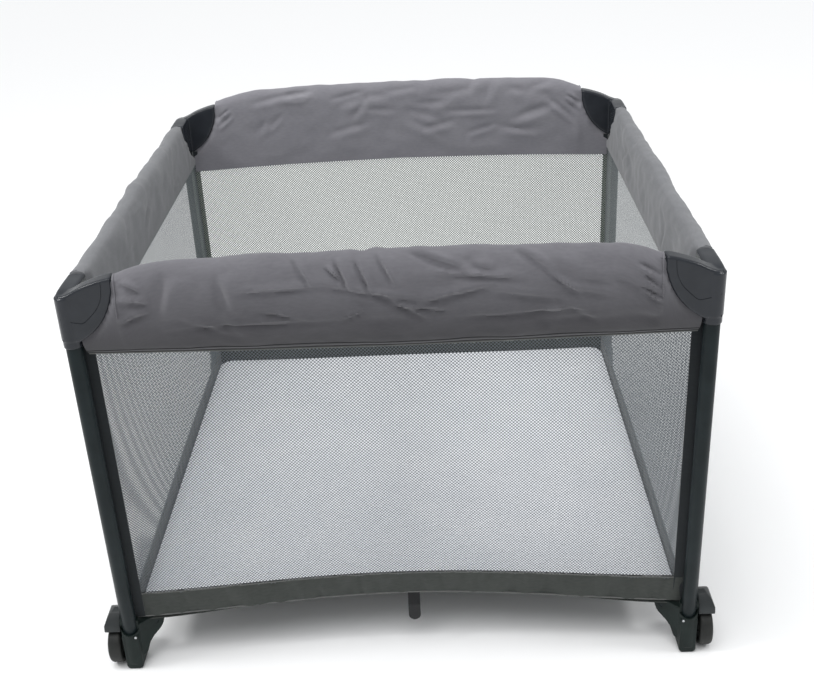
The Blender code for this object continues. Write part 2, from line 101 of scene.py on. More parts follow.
EYE = Vector((0.0741, -2.0233, 1.3768))          # metres
YAW, PITCH, ROLL = -1.873, 26.772, -3.018        # degrees
lens = bpy.data.cameras.new("camera")
lens.sensor_width, lens.lens = 36.0, 50.55       # millimetres
camera = bpy.data.objects.new("camera", lens)
bpy.context.scene.collection.objects.link(camera)
camera.matrix_world = aim(YAW, PITCH, ROLL, EYE)
bpy.context.scene.camera = camera

# %% Colour helper and node helper
def linear(code, alpha=1.0):
    """An sRGB hex colour as the linear numbers a shader wants."""
    parts = [int(code[i:i + 2], 16) / 255 for i in (1, 3, 5)]
    return (*(p / 12.92 if p <= 0.04045 else ((p + 0.055) / 1.055) ** 2.4 for p in parts), alpha)


def add(tree, kind, inputs=None, **settings):
    """Add one node; inputs maps a socket to a plain value or to another node's output."""
    node = tree.nodes.new(kind)
    for key, value in settings.items():
        setattr(node, key, value)
    for key, value in (inputs or {}).items():
        if isinstance(value, bpy.types.NodeSocket):
            tree.links.new(value, node.inputs[key])
        else:
            node.inputs[key].default_value = value
    return node


def finish_sheet(name):
    """A new material with only its output node; returns the material, its tree and the output."""
    mat = bpy.data.materials.new(name)
    mat.use_nodes = True
    mat.node_tree.nodes.clear()
    return mat, mat.node_tree, mat.node_tree.nodes.new("ShaderNodeOutputMaterial")

# %% Floor and lights
bpy.context.scene.view_settings.view_transform = "Standard"
world = bpy.data.worlds.new("studio")
world.use_nodes = True
world.node_tree.nodes["Background"].inputs["Color"].default_value = linear("#F4F6F8")
world.node_tree.nodes["Background"].inputs["Strength"].default_value = 0.60
bpy.context.scene.world = world

bpy.ops.mesh.primitive_plane_add(size=60, location=(0, 0, 0))
floor = bpy.context.object
floor.name = "studio_floor"
floor_mat, tree, out = finish_sheet("matt floor paper")
shade = add(tree, "ShaderNodeBsdfPrincipled", {"Base Color": linear("#FAFAFA"), "Roughness": 0.9})
tree.links.new(shade.outputs[0], out.inputs[0])
floor.data.materials.append(floor_mat)
floor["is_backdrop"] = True


def soft_light(name, place, size, power, aim_at=Vector((0, 0, 0.4))):
    """A square lamp, size metres across, that faces the middle of the pen."""
    data = bpy.data.lights.new(name, "AREA")
    data.shape, data.size, data.energy = "SQUARE", size, power
    lamp = bpy.data.objects.new(name, data)
    bpy.context.scene.collection.objects.link(lamp)
    lamp.location = place
    lamp.rotation_euler = (aim_at - place).to_track_quat("-Z", "Y").to_euler()


soft_light("overhead", Vector((-0.6, -0.3, 3.2)), 1.2, 12)
soft_light("window_left", Vector((-2.4, -0.7, 2.7)), 0.6, 26)
soft_light("window_right", Vector((2.6, -0.7, 2.7)), 0.6, 22)
sky = bpy.data.lights.new("ceiling", "SUN")
sky.energy, sky.angle = 1.45, math.radians(50)
ceiling = bpy.data.objects.new("ceiling", sky)
bpy.context.scene.collection.objects.link(ceiling)
ceiling.rotation_euler = (math.radians(14), math.radians(-10), 0)

# %% [markdown]
# ## Hand tools for modelling
# Every solid piece is made the way it would be made by hand: add a primitive, pick faces, extrude, bevel,
# cut with a Boolean. These few helpers only save typing: they clear the selection first, because an
# operator acts on everything that is selected, and they apply each modifier at once.

# %% Modelling helpers
def only(obj):
    """Make obj the one selected, active object."""
    bpy.ops.object.select_all(action="DESELECT")
    obj.select_set(True)
    bpy.context.view_layer.objects.active = obj


@contextmanager
def editing(obj, kind="FACE"):
    """Edit mode on obj with nothing selected."""
    only(obj)
    bpy.ops.object.mode_set(mode="EDIT")
    bpy.ops.mesh.select_mode(type=kind)
    bpy.ops.mesh.select_all(action="DESELECT")
    yield
    bpy.ops.object.mode_set(mode="OBJECT")


def choose(obj, kind, test):
    """In edit mode, select the faces, edges or verts for which test is true; returns how many."""
    bpy.ops.mesh.select_all(action="DESELECT")
    bm = bmesh.from_edit_mesh(obj.data)
    items = {"FACE": bm.faces, "EDGE": bm.edges, "VERT": bm.verts}[kind]
    found = [item for item in items if test(item)]
    for item in found:
        item.select_set(True)
    bmesh.update_edit_mesh(obj.data)
    return len(found)


def apply(obj, kind, **settings):
    """Add one modifier and apply it."""
    only(obj)
    mod = obj.modifiers.new(kind, kind)
    for key, value in settings.items():
        setattr(mod, key, value)
    bpy.ops.object.modifier_apply(modifier=mod.name)
    return obj


def boolean(obj, others, operation):
    """Join others to obj, or cut them away, and remove them."""
    for other in others:
        apply(obj, "BOOLEAN", operation=operation, solver="EXACT", object=other)
        bpy.data.objects.remove(other, do_unlink=True)
    return obj


def settle(obj, name):
    """Put the object's place, turn and scale in its mesh and name it."""
    only(obj)
    bpy.ops.object.transform_apply(location=True, rotation=True, scale=True)
    obj.name = obj.data.name = name
    return obj


def smooth(obj, angle=35):
    """Shade smooth, but keep every edge sharper than angle crisp."""
    only(obj)
    bpy.ops.object.shade_smooth_by_angle(angle=math.radians(angle), keep_sharp_edges=False)
    return obj


def copied(obj, name, matrix=Matrix.Identity(4)):
    """A copy with its own mesh, moved or mirrored by matrix."""
    twin = obj.copy()
    twin.data = obj.data.copy()
    twin.name = twin.data.name = name
    bpy.context.scene.collection.objects.link(twin)
    twin.data.transform(matrix)
    if matrix.determinant() < 0:
        twin.data.flip_normals()
    return twin


def paint(obj, mat):
    """Give the piece one material and the name of its colour slot."""
    obj.data.materials.clear()
    obj.data.materials.append(mat)
    return obj


def slab(outline, low, high, axes="xz"):
    """A flat plate: a filled circle pulled to an outline in the plane named by axes, then extruded."""
    u, v = ("xyz".index(a) for a in axes)
    w = 3 - u - v
    bpy.ops.mesh.primitive_circle_add(vertices=len(outline), radius=0.01, fill_type="NGON")
    obj = bpy.context.object
    for vert, (a, b) in zip(obj.data.vertices, outline):
        vert.co[u], vert.co[v], vert.co[w] = a, b, low
    move = [0.0, 0.0, 0.0]
    move[w] = high - low
    with editing(obj):
        bpy.ops.mesh.select_all(action="SELECT")
        bpy.ops.mesh.extrude_region_move(TRANSFORM_OT_translate={"value": move})
        bpy.ops.mesh.select_all(action="SELECT")
        bpy.ops.mesh.normals_make_consistent(inside=False)
    return obj


def rod(start, end, radius, sides=48):
    """A round bar between two points, from a cylinder."""
    start, end = Vector(start), Vector(end)
    run = end - start
    bpy.ops.mesh.primitive_cylinder_add(vertices=sides, radius=radius, depth=run.length,
                                        location=(start + end) / 2,
                                        rotation=run.to_track_quat("Z", "Y").to_euler())
    return settle(bpy.context.object, "rod")


def curve_through(points, steps=4):
    """Points along a smooth line through the given ones (Catmull-Rom)."""
    pts = [Vector(p) for p in points]
    pts = [2 * pts[0] - pts[1]] + pts + [2 * pts[-1] - pts[-2]]
    line = []
    for a, b, c, d in zip(pts, pts[1:], pts[2:], pts[3:]):
        for k in range(steps):
            t = k / steps
            line.append(0.5 * (2 * b + (c - a) * t + (2 * a - 5 * b + 4 * c - d) * t ** 2
                               + (3 * b - a - 3 * c + d) * t ** 3))
    return line + [pts[-2]]


def cord_along(points, radius, name, sides=2):
    """A round strand along points: a curve with a bevel, turned into a mesh."""
    data = bpy.data.curves.new(name, "CURVE")
    data.dimensions, data.bevel_depth, data.bevel_resolution = "3D", radius, sides
    data.use_fill_caps = True
    line = data.splines.new("POLY")
    line.points.add(len(points) - 1)
    for slot, point in zip(line.points, points):
        slot.co = (*point, 1)
    obj = bpy.data.objects.new(name, data)
    bpy.context.scene.collection.objects.link(obj)
    only(obj)
    bpy.ops.object.convert(target="MESH")
    return bpy.context.object

# %% [markdown]
# ## Hard finishes
# The tubes are steel with a powder coat: a baked plastic skin, satin, with a faint orange-peel ripple.
# The corners are moulded ABS with a fine spark-eroded grain and a soft gloss. Feet and wheels are
# polypropylene, which is duller and scuffs. Colours are the near-black teal greys of such a pen. Axles
# and rivets are bright zinc-plated steel, and the release buttons under the cloth are red ABS.

# %% Moulded and coated surfaces
MOTTLE = 28.0                                    # patches of worn tone, a few centimetres across


def hard_finish(name, colour, worn, roughness, grain_mm, depth, ior=1.5, metallic=0.0):
    """Base colour mottled towards a worn tone, roughness that wanders, and a fine grain in the bump."""
    mat, tree, out = finish_sheet(name)
    place = add(tree, "ShaderNodeTexCoord").outputs["Object"]
    cloud = add(tree, "ShaderNodeTexNoise", {"Vector": place, "Scale": MOTTLE, "Detail": 4.0})
    grain = add(tree, "ShaderNodeTexNoise", {"Vector": place, "Scale": 1.0 / (grain_mm * MM),
                                             "Detail": 2.0})
    tint = add(tree, "ShaderNodeMapRange", {"Value": cloud.outputs[0], "From Min": 0.35, "From Max": 0.75})
    skin = add(tree, "ShaderNodeMix", {0: tint.outputs[0], 6: linear(colour), 7: linear(worn)},
               data_type="RGBA")
    dull = add(tree, "ShaderNodeMapRange", {"Value": grain.outputs[0], "From Min": 0.3, "From Max": 0.7,
                                            "To Min": roughness - 0.05, "To Max": roughness + 0.07})
    ripple = add(tree, "ShaderNodeBump", {"Height": grain.outputs[0], "Strength": 0.35,
                                          "Distance": depth * MM})
    shade = add(tree, "ShaderNodeBsdfPrincipled", {
        "Base Color": skin.outputs[2], "Roughness": dull.outputs[0], "Metallic": metallic,
        "Normal": ripple.outputs[0], "IOR": ior})
    tree.links.new(shade.outputs[0], out.inputs[0])
    return mat


powder_coat = hard_finish("powder-coated steel, satin", "#151D1F", "#1D2628", 0.36, 1.6, 0.05, 1.28)
moulded_abs = hard_finish("moulded ABS, fine grain", "#25282D", "#2C2F34", 0.20, 0.9, 0.02, 1.38)
foot_plastic = hard_finish("moulded polypropylene, black", "#121B19", "#1C2624", 0.50, 1.2, 0.06, 1.30)
hood_plastic = hard_finish("moulded polypropylene, grey", "#282B2C", "#333738", 0.42, 1.2, 0.06, 1.38)
wheel_plastic = hard_finish("moulded polypropylene, wheel", "#191B1A", "#2B2C2A", 0.48, 1.4, 0.08, 1.36)
zinc_steel = hard_finish("zinc-plated steel", "#B9BBBC", "#9FA2A5", 0.28, 0.8, 0.02, metallic=1.0)
button_plastic = hard_finish("moulded ABS, red", "#8E2222", "#A03030", 0.38, 0.9, 0.03, 1.54)

# %% [markdown]
# ## Woven cloth
# The covers and the base band are plain-weave polyester over thin foam. Real threads lie about 0.3 mm
# apart, finer than a view of the whole pen can show, so the weave is drawn at 2.4 mm, and a little
# closer on the mat and the strap. A sheet's UV map is in metres along its own surface, which keeps the
# threads square to the cloth wherever it bends. A cover's colour is darkened towards its hem by height:
# that is painted shade on the sleeve's lower face.

# %% Woven cloth
SLUBS = (90.0, 260.0, 1.0)                       # thicker runs of yarn, longer than they are high
CLOUDS = 9.0                                     # uneven dye, in patches the size of a hand
SHADE_FULL_Z, SHADE_NONE_Z = 0.625, 0.735                # heights between which a cover's painted shade thins out


def cloth_waves(tree, turns, wave):
    """The cloth's UV in metres, and a wave along each of its two directions."""
    uv = add(tree, "ShaderNodeUVMap", uv_map="cloth").outputs[0]
    axes = add(tree, "ShaderNodeSeparateXYZ", {"Vector": uv})
    waves = []
    for axis in ("X", "Y"):
        angle = add(tree, "ShaderNodeMath", {0: axes.outputs[axis], 1: turns}, operation="MULTIPLY")
        waves.append(add(tree, "ShaderNodeMath", {0: angle.outputs[0]}, operation=wave).outputs[0])
    return uv, *waves


def woven(name, colour, shade_to, thread_mm=2.4, roughness=0.85, sheen=0.25, shade_at_hem=1.0, relief=0.18):
    """Plain weave; shade_at_hem is how much of its colour a cover keeps at its hem under the painted shade.
    """
    mat, tree, out = finish_sheet(name)
    uv, warp, weft = cloth_waves(tree, math.pi / (thread_mm * MM), "SINE")
    weave = add(tree, "ShaderNodeMath", {0: warp, 1: weft}, operation="MULTIPLY")
    slubs = add(tree, "ShaderNodeMapping", {"Vector": uv, "Scale": SLUBS})
    fibre = add(tree, "ShaderNodeTexNoise", {"Vector": slubs.outputs[0], "Scale": 1.0, "Detail": 3.0})
    cloud = add(tree, "ShaderNodeTexNoise", {"Vector": uv, "Scale": CLOUDS, "Detail": 5.0})
    mixed = add(tree, "ShaderNodeMath", {0: fibre.outputs[0], 1: cloud.outputs[0]}, operation="ADD")
    tone = add(tree, "ShaderNodeMapRange", {"Value": mixed.outputs[0], "From Min": 0.65, "From Max": 1.35})
    cloth_colour = add(tree, "ShaderNodeMix", {0: tone.outputs[0], 6: linear(colour), 7: linear(shade_to)},
              data_type="RGBA")
    # painted shade: the colour is scaled down towards the hem by height, to shade_at_hem at the bottom
    on_piece = add(tree, "ShaderNodeTexCoord").outputs["Object"]
    place = add(tree, "ShaderNodeSeparateXYZ", {"Vector": on_piece})
    painted_shading = add(tree, "ShaderNodeMapRange", {"Value": place.outputs["Z"], "From Min": SHADE_FULL_Z,
                                             "From Max": SHADE_NONE_Z, "To Min": shade_at_hem, "To Max": 1.0})
    cloth_colour = add(tree, "ShaderNodeVectorMath", {0: cloth_colour.outputs[2], "Scale": painted_shading.outputs[0]},
              operation="SCALE")
    height = add(tree, "ShaderNodeMath", {0: weave.outputs[0], 1: fibre.outputs[0]}, operation="ADD")
    bump = add(tree, "ShaderNodeBump", {"Height": height.outputs[0], "Strength": relief,
                                        "Distance": 0.12 * MM})
    shader = add(tree, "ShaderNodeBsdfPrincipled", {
        "Base Color": cloth_colour.outputs[0], "Roughness": roughness, "Normal": bump.outputs[0],
        "Sheen Weight": sheen, "Sheen Roughness": 0.5, "Specular IOR Level": 0.25})
    tree.links.new(shader.outputs[0], out.inputs[0])
    return mat


# one cloth in three tones: the rear is painted lighter as light, the front darker as shade; shade_at_hem
# sets each side's painted shade at the hem
front_weave = woven("plain-weave polyester, grey", "#67666B", "#717075", shade_at_hem=0.30, relief=0.04)
rear_weave = woven("plain-weave polyester, grey, faded", "#7A797F", "#848388", shade_at_hem=0.9, relief=0.04)
side_weave = woven("plain-weave polyester, grey, side", "#6D6E71", "#77787B", shade_at_hem=0.7, relief=0.04)
COVER = {"front": front_weave, "rear": rear_weave, "left": side_weave, "right": side_weave}
band_weave = woven("plain-weave polyester, dark", "#313532", "#3E413E")
binding_weave = woven("binding tape", "#161B1E", "#1F2427", 0.9)
piping_weave = woven("piping tape", "#585A59", "#676866", 0.9)
mat_cloth = woven("brushed polyester, pale", "#E6E9EE", "#F2F3F6", 1.4, 0.9, 0.35)
webbing = woven("nylon webbing, black", "#0E0F10", "#191A1C", 1.6, 0.6)
# dark cord along the seams: the stitching, and painted shadow in the seam's fold
seam_thread_and_shadow = woven("seam shadow thread", "#2A2B2C", "#363738", 0.9)

# %% [markdown]
# ## Knitted net
# Warp-knitted net has rows of small openings, each row shifted by half a step. Two cosine waves added
# together give just that staggered grid: where their sum is far from zero there is an opening, and where
# it is near zero there is yarn. Real openings are about 2 mm wide, 3 mm apart; here they are drawn
# 5.6 mm apart, so that they still show from across a room. The front net is the most open one; the rear
# and side nets are knitted closer, and the side ones are painted darkest, as shade.

# %% Net
NET_PITCH = 5.6 * MM
HOLE_RIM = 0.12                                  # softness of an opening's edge


def knitted_net(name, colour, open_from):
    """Net whose openings begin where the waves' sum passes open_from: the larger, the closer the knit."""
    mat, tree, out = finish_sheet(name)
    _, across, up = cloth_waves(tree, 2 * math.pi / NET_PITCH, "COSINE")
    both = add(tree, "ShaderNodeMath", {0: across, 1: up}, operation="ADD")
    away = add(tree, "ShaderNodeMath", {0: both.outputs[0]}, operation="ABSOLUTE")
    hole = add(tree, "ShaderNodeMapRange", {"Value": away.outputs[0], "From Min": open_from - HOLE_RIM,
                                            "From Max": open_from + HOLE_RIM})
    yarn = add(tree, "ShaderNodeBsdfPrincipled", {"Base Color": linear(colour), "Roughness": 0.7,
                                                  "Sheen Weight": 0.2})
    clear = add(tree, "ShaderNodeBsdfTransparent")
    knit = add(tree, "ShaderNodeMixShader", {0: hole.outputs[0], 1: yarn.outputs[0], 2: clear.outputs[0]})
    tree.links.new(knit.outputs[0], out.inputs[0])
    return mat


front_net = knitted_net("warp-knitted polyester net", "#5F656B", 0.56)
inner_net = knitted_net("warp-knitted polyester net, dense side", "#828982", 1.05)
# the side nets' darker yarn colour is painted shade
side_net = knitted_net("warp-knitted polyester net, shaded side", "#3F4B4E", 1.28)
NET = {"front": front_net, "rear": inner_net, "left": side_net, "right": side_net}

# %% [markdown]
# ## Where the frame says everything is
# The four legs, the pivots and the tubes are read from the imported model, so a change of size there is
# followed here. Pieces for a corner are drawn once, with +X and +Y pointing into the pen from the leg's
# axis, and mirrored to the other corners.

# %% Places
CORNERS = {"fl": (-1, -1), "fr": (1, -1), "bl": (-1, 1), "br": (1, 1)}
leg_low, leg_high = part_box("leg_fr")
LEG = (leg_low.x + leg_high.x) / 2               # leg axis from the middle
LEG_R = (leg_high.x - leg_low.x) / 2
WING_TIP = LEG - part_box("casting_fr")[0].x       # wing tip from the leg axis
JOINT = {j["name"]: j for j in frame["joints"]}
RAIL_X = JOINT["rail_front_a"]["pos_m"][2]       # pivot heights of the two kinds of rail
RAIL_Y = JOINT["rail_left_a"]["pos_m"][2]
WHEEL = Vector(JOINT["wheel_fr"]["pos_m"]) - Vector((LEG, -LEG, 0))
wall_low, wall_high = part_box("wall_front")
WALL = -(wall_low.y + wall_high.y) / 2           # net plane from the middle
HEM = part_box("cover_front_a")[0].z
print("legs at", round(LEG, 4), "net at", round(WALL, 4), "hem at", round(HEM, 4))


def at_corner(corner):
    """Matrix that mirrors a corner piece, drawn round the origin, onto one of the legs."""
    sx, sy = CORNERS[corner]
    return Matrix.Translation((sx * LEG, sy * LEG, 0)) @ Matrix.Diagonal((-sx, -sy, 1, 1))


def to_corners(obj, kind, mat, corners=tuple(CORNERS)):
    """Mirror a corner piece into place, hang it on its leg's body and let it stand for the CAD node."""
    made = []
    for corner in corners:
        twin = paint(copied(obj, kind + "_moulded_" + corner, at_corner(corner)), mat)
        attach(twin, "corner_" + corner)
        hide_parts(kind + "_" + corner)
        made.append(twin)
    bpy.data.objects.remove(obj, do_unlink=True)
    return made

# %% [markdown]
# ## Tubes
# The legs are plain 25 mm round tube. A cylinder with its end face inset and pushed in has a real wall
# at the open end; the lower end sits in the foot.

# %% Legs
def tube(start, end, radius, name, wall=1.2 * MM, depth=0.02):
    """A round tube with both ends hollowed out."""
    obj = rod(start, end, radius)
    axis = (Vector(end) - Vector(start)).normalized()
    for way in (-1, 1):
        with editing(obj):
            choose(obj, "FACE", lambda f, way=way: f.normal.dot(axis) * way > 0.9)
            bpy.ops.mesh.inset(thickness=wall)
            bpy.ops.mesh.extrude_region_move(TRANSFORM_OT_translate={"value": -axis * way * depth})
    apply(obj, "BEVEL", width=0.3 * MM, segments=2, limit_method="ANGLE", angle_limit=math.radians(50))
    obj.name = obj.data.name = name
    return smooth(obj)


for corner, (sx, sy) in CORNERS.items():
    low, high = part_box("leg_" + corner)
    middle = (low + high) / 2
    leg = tube((middle.x, middle.y, low.z), (middle.x, middle.y, high.z), LEG_R, "leg_tube_" + corner)
    paint(leg, powder_coat)
    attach(leg, "corner_" + corner)
    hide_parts("leg_" + corner)
print("leg tubes", round((high.z - low.z) * 1000), "mm")

# %% [markdown]
# ## Corner castings
# Each corner is one hollow ABS moulding: a collar on the leg and two wings that the top rails pivot in.
# The wings are drawn as flat plates with softly bevelled edges and joined to the collar. A voxel remesh
# and a few smoothing steps then melt the joins into the round fillets a mould leaves. The mouths, the
# shield-shaped score line and the screw hole are cut last, because they stay crisp.

# %% Corner castings
WING_HALF = 0.0140                               # half the thickness of a wing
MOUTH_HALF = 0.0108                              # half the width of the slot a rail turns in
COLLAR_R, RING_R, DOME_R = 0.0158, 0.0148, 0.0125
PIN_R = 0.0034
PLAY = 0.0003                                    # room between a leg and its socket
LOW_EDGE = [(0.0140, 0.6365), (0.0230, 0.6420), (0.0380, 0.6530), (0.0545, 0.6710),
            (0.0675, 0.6940), (0.0750, 0.7170)]
FRONT_TOP = [(0.0755, 0.7395), (0.0600, 0.7365), (0.0420, 0.7310), (0.0260, 0.7250), (0.0100, 0.7170),
             (-0.0060, 0.7110)]
SIDE_TOP = [(0.0755, 0.7145), (0.0600, 0.7145), (0.0420, 0.7150), (0.0260, 0.7150), (0.0100, 0.7145),
            (-0.0060, 0.7120)]
SCORE = [(-0.0150, 0.6790), (-0.0080, 0.6770), (0.0033, 0.6730), (0.0160, 0.6700), (0.0256, 0.6696),
         (0.0370, 0.6790), (0.0500, 0.6930), (0.0580, 0.7090), (0.0606, 0.7250), (0.0610, 0.7380)]


def droop(u, top):
    """How much lower a line of the wing runs at u, so that it follows the wing's top edge."""
    return (FRONT_TOP[0][1] - top[0][1]) * (max(0.0, u - 0.02) / 0.055) ** 1.3


def lowered(points, top):
    """The wing's lower edge; on the level wing its tip lies lower."""
    return [(u, z - droop(u, top)) for u, z in points]


def wing(top, axes):
    """One wing as a plate with softly rounded edges."""
    low = lowered(LOW_EDGE, top)
    outline = [(p.x, p.z) for p in curve_through([(u, 0, z) for u, z in low], 4)]
    outline += [(p.x, p.z) for p in curve_through([(u, 0, z) for u, z in top], 3)] + [(-0.006, 0.640)]
    plate = slab(outline, -WING_HALF, WING_HALF, axes)
    return apply(plate, "BEVEL", width=4.6 * MM, segments=4, limit_method="ANGLE",
                 angle_limit=math.radians(60))


def make_casting():
    """A whole corner casting round the origin, its wings along +X and +Y."""
    body = rod((0, 0, 0.6395), (0, 0, 0.7090), COLLAR_R)
    ring = rod((0, 0, 0.6260), (0, 0, 0.6420), RING_R)
    dome = rod((0, 0, 0.7050), (0, 0, 0.7125), DOME_R)
    boolean(body, [wing(FRONT_TOP, "xz"), wing(SIDE_TOP, "yz"), ring, dome], "UNION")
    apply(body, "REMESH", mode="VOXEL", voxel_size=1.15 * MM)
    apply(body, "SMOOTH", factor=0.5, iterations=7)
    cuts = [rod((0, 0, 0.60), (0, 0, 0.693), LEG_R + PLAY)]
    for top, axes, pivot in ((FRONT_TOP, "xz", RAIL_X), (SIDE_TOP, "yz", RAIL_Y)):
        roof = top[0][1] - 0.0035
        mouth = [(0.0195, 0.600), (0.090, 0.600), (0.090, roof), (0.0600, roof - 0.003),
                 (0.0195, roof - 0.017 if top is FRONT_TOP else roof - 0.001)]
        cuts.append(slab(mouth, -MOUTH_HALF, MOUTH_HALF, axes))
        ends = [(0.060, -0.0129, pivot), (0.060, 0.0129, pivot)]
        cuts.append(rod(*[(a, b, c) if axes == "xz" else (b, a, c) for a, b, c in ends], PIN_R, 20))
        line = curve_through([(u, -WING_HALF + 0.0002, z) for u, z in SCORE], 4)
        if axes == "yz":
            line = [Vector((p.y, p.x, p.z - droop(p.x, top))) for p in line]
        cuts.append(cord_along(line, 0.00065, "score"))
    cuts.append(rod((-0.0100, -0.0100, 0.6400), (-0.0150, -0.0150, 0.6400), 0.0024, 20))
    boolean(body, cuts, "DIFFERENCE")
    return smooth(body, 40)


castings = to_corners(make_casting(), "casting", moulded_abs)
print("casting faces", len(castings[0].data.polygons))

# %% [markdown]
# ## Feet
# A foot is a square block under the leg, a collar whose upper edge dips to the front, and a forked lug
# that the floor tube pivots in, towards the middle of the pen. The same recipe is used: plates and bars,
# one melted body, then crisp cuts for the leg socket, the fork and the pin.

# %% Feet
LUG_AT = 0.046                                   # the floor tube's pin, from the leg towards the middle
BLOCK_HALF = 0.0140                              # half the width of the block under a leg
FOLD_Z = JOINT["fold"]["pos_m"][2]


def diagonal(obj):
    """Turn a piece drawn along +X to the +X +Y diagonal."""
    obj.data.transform(Matrix.Rotation(math.radians(45), 4, "Z"))
    return obj


def make_foot(with_wheel):
    """A foot round the origin, and its rivet head; the front feet also carry a boss for the wheel."""
    deep = 0.0280 if with_wheel else 0.0225
    outline = [(-0.0140, 0.072), (-0.0140, 0.0055), (-0.0110, 0.0012), (-0.0075, 0.0), (0.0085, 0.0),
               (0.0120, 0.0012), (0.0148, 0.0055), (0.0148, 0.072)]
    body = slab(outline, -BLOCK_HALF, deep, "xz")
    apply(body, "BEVEL", width=2.2 * MM, segments=3, limit_method="ANGLE", angle_limit=math.radians(70))
    web = [(0.0, 0.018), (0.0165, 0.022), (0.0215, 0.028), (0.0270, 0.0400), (0.0380, 0.0490),
           (0.0520, 0.0570), (0.0590, 0.0665), (0.0615, 0.0770), (0.0605, 0.0878), (0.0, 0.0878)]
    lug = diagonal(slab([(p.x, p.z) for p in curve_through([(u, 0, z) for u, z in web], 2)],
                        -0.0128, 0.0128, "xz"))
    collar = rod((0, 0, 0.012), (0, 0, 0.0980), 0.0162)
    pieces = [lug, collar]
    if with_wheel:
        pieces.append(slab([(0.0040, 0.030), (deep, 0.030), (deep, 0.092), (0.0100, 0.100)],
                           -0.0164, -0.0080, "yz"))
    boolean(body, pieces, "UNION")
    apply(body, "REMESH", mode="VOXEL", voxel_size=1.1 * MM)
    apply(body, "SMOOTH", factor=0.5, iterations=4)
    scoop = rod((0.0025, -0.040, 0.0925), (0.0025, -0.0035, 0.0925), 0.0185)     # dips the collar's edge
    cuts = [rod((0, 0, 0.0435), (0, 0, 0.13), LEG_R + PLAY), scoop]
    fork = [(0.0320, 0.0600), (0.075, 0.0500), (0.075, 0.12), (0.0320, 0.12)]
    cuts.append(diagonal(slab(fork, -0.0100, 0.0100, "xz")))
    cuts.append(diagonal(rod((LUG_AT, -0.02, FOLD_Z), (LUG_AT, 0.02, FOLD_Z), PIN_R, 24)))
    if with_wheel:
        cuts.append(rod((-0.030, WHEEL.y, WHEEL.z), (-0.0005, WHEEL.y, WHEEL.z), 0.0033, 24))
    boolean(body, cuts, "DIFFERENCE")
    head = rod((0.0110, -0.0155, 0.0700), (0.0110, -0.0120, 0.0700), 0.0024, 20)
    apply(head, "BEVEL", width=0.8 * MM, segments=3, limit_method="ANGLE", angle_limit=math.radians(50))
    return smooth(body, 40), smooth(head)


for with_wheel, corners in ((True, ("fl", "fr")), (False, ("bl", "br"))):
    foot, head = make_foot(with_wheel)
    made = to_corners(foot, "foot", foot_plastic, corners)
    for corner in corners:
        rivet = paint(copied(head, "foot_rivet_" + corner, at_corner(corner)), zinc_steel)
        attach(rivet, "corner_" + corner)
    bpy.data.objects.remove(head, do_unlink=True)
print("foot faces", len(made[0].data.polygons))

# %% [markdown]
# ## Wheel hoods, wheels and axles
# The two front feet carry a wheel on their outer side, under a hood. The hood is one plate with an arch
# for the tread; its front has a low upright facet and a longer sloping one with three moulded grooves.
# The wheel is a cylinder whose rim is bevelled round and whose faces are inset and sunk into a dish.

# %% Wheel hoods
HOOD_OUT, HOOD_IN = 0.0450, 0.0168               # its two sides, outwards from the leg
ARCH = WHEEL.z + 0.0030                          # radius of the arch over the tread
GROOVES = (-0.0215, -0.0260, -0.0305)


def make_hood():
    """A hood beside the origin: an arched plate with two facets cut from it and grooves over the top."""
    arch = [(WHEEL.y - ARCH * math.cos(a), WHEEL.z + ARCH * math.sin(a))
            for a in (math.radians(62 + 88 * k / 14) for k in range(15))]
    roof = [(0.0420, 0.0560), (0.0380, 0.0740), (0.0300, 0.0890), (0.0180, 0.1010), (0.0050, 0.1070),
            (-0.0060, 0.1045), (-0.0200, 0.0885), (-0.0235, 0.0750)]
    plate = slab(arch + [(WHEEL.y + y, z) for y, z in roof], -HOOD_OUT, -HOOD_IN, "yz")
    with editing(plate):
        bpy.ops.mesh.select_all(action="SELECT")
        bpy.ops.mesh.bisect(plane_co=(-HOOD_OUT, 0, 0.0850), plane_no=(-0.92, 0, 0.39), use_fill=True,
                            clear_outer=True)
        bpy.ops.mesh.select_all(action="SELECT")
        bpy.ops.mesh.bisect(plane_co=(-0.0400, 0, 0.0985), plane_no=(-0.62, 0, 0.78), use_fill=True,
                            clear_outer=True)
    apply(plate, "BEVEL", width=2.6 * MM, segments=4, limit_method="ANGLE", angle_limit=math.radians(28))
    grooves = []
    for x in GROOVES:
        line = [(x, WHEEL.y - 0.0195, 0.0925), (x, WHEEL.y - 0.0085, 0.1045), (x, WHEEL.y + 0.0020, 0.1085)]
        grooves.append(cord_along(curve_through(line, 4), 0.00095, "groove"))
    boolean(plate, grooves, "DIFFERENCE")
    return smooth(plate, 32)


to_corners(make_hood(), "fender", hood_plastic, ("fl", "fr"))

# %% Wheels and axles
wheel_low, wheel_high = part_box("wheel_fr")
HALF_WIDTH = (wheel_high.x - wheel_low.x) / 2
WHEEL_R = (wheel_high.z - wheel_low.z) / 2


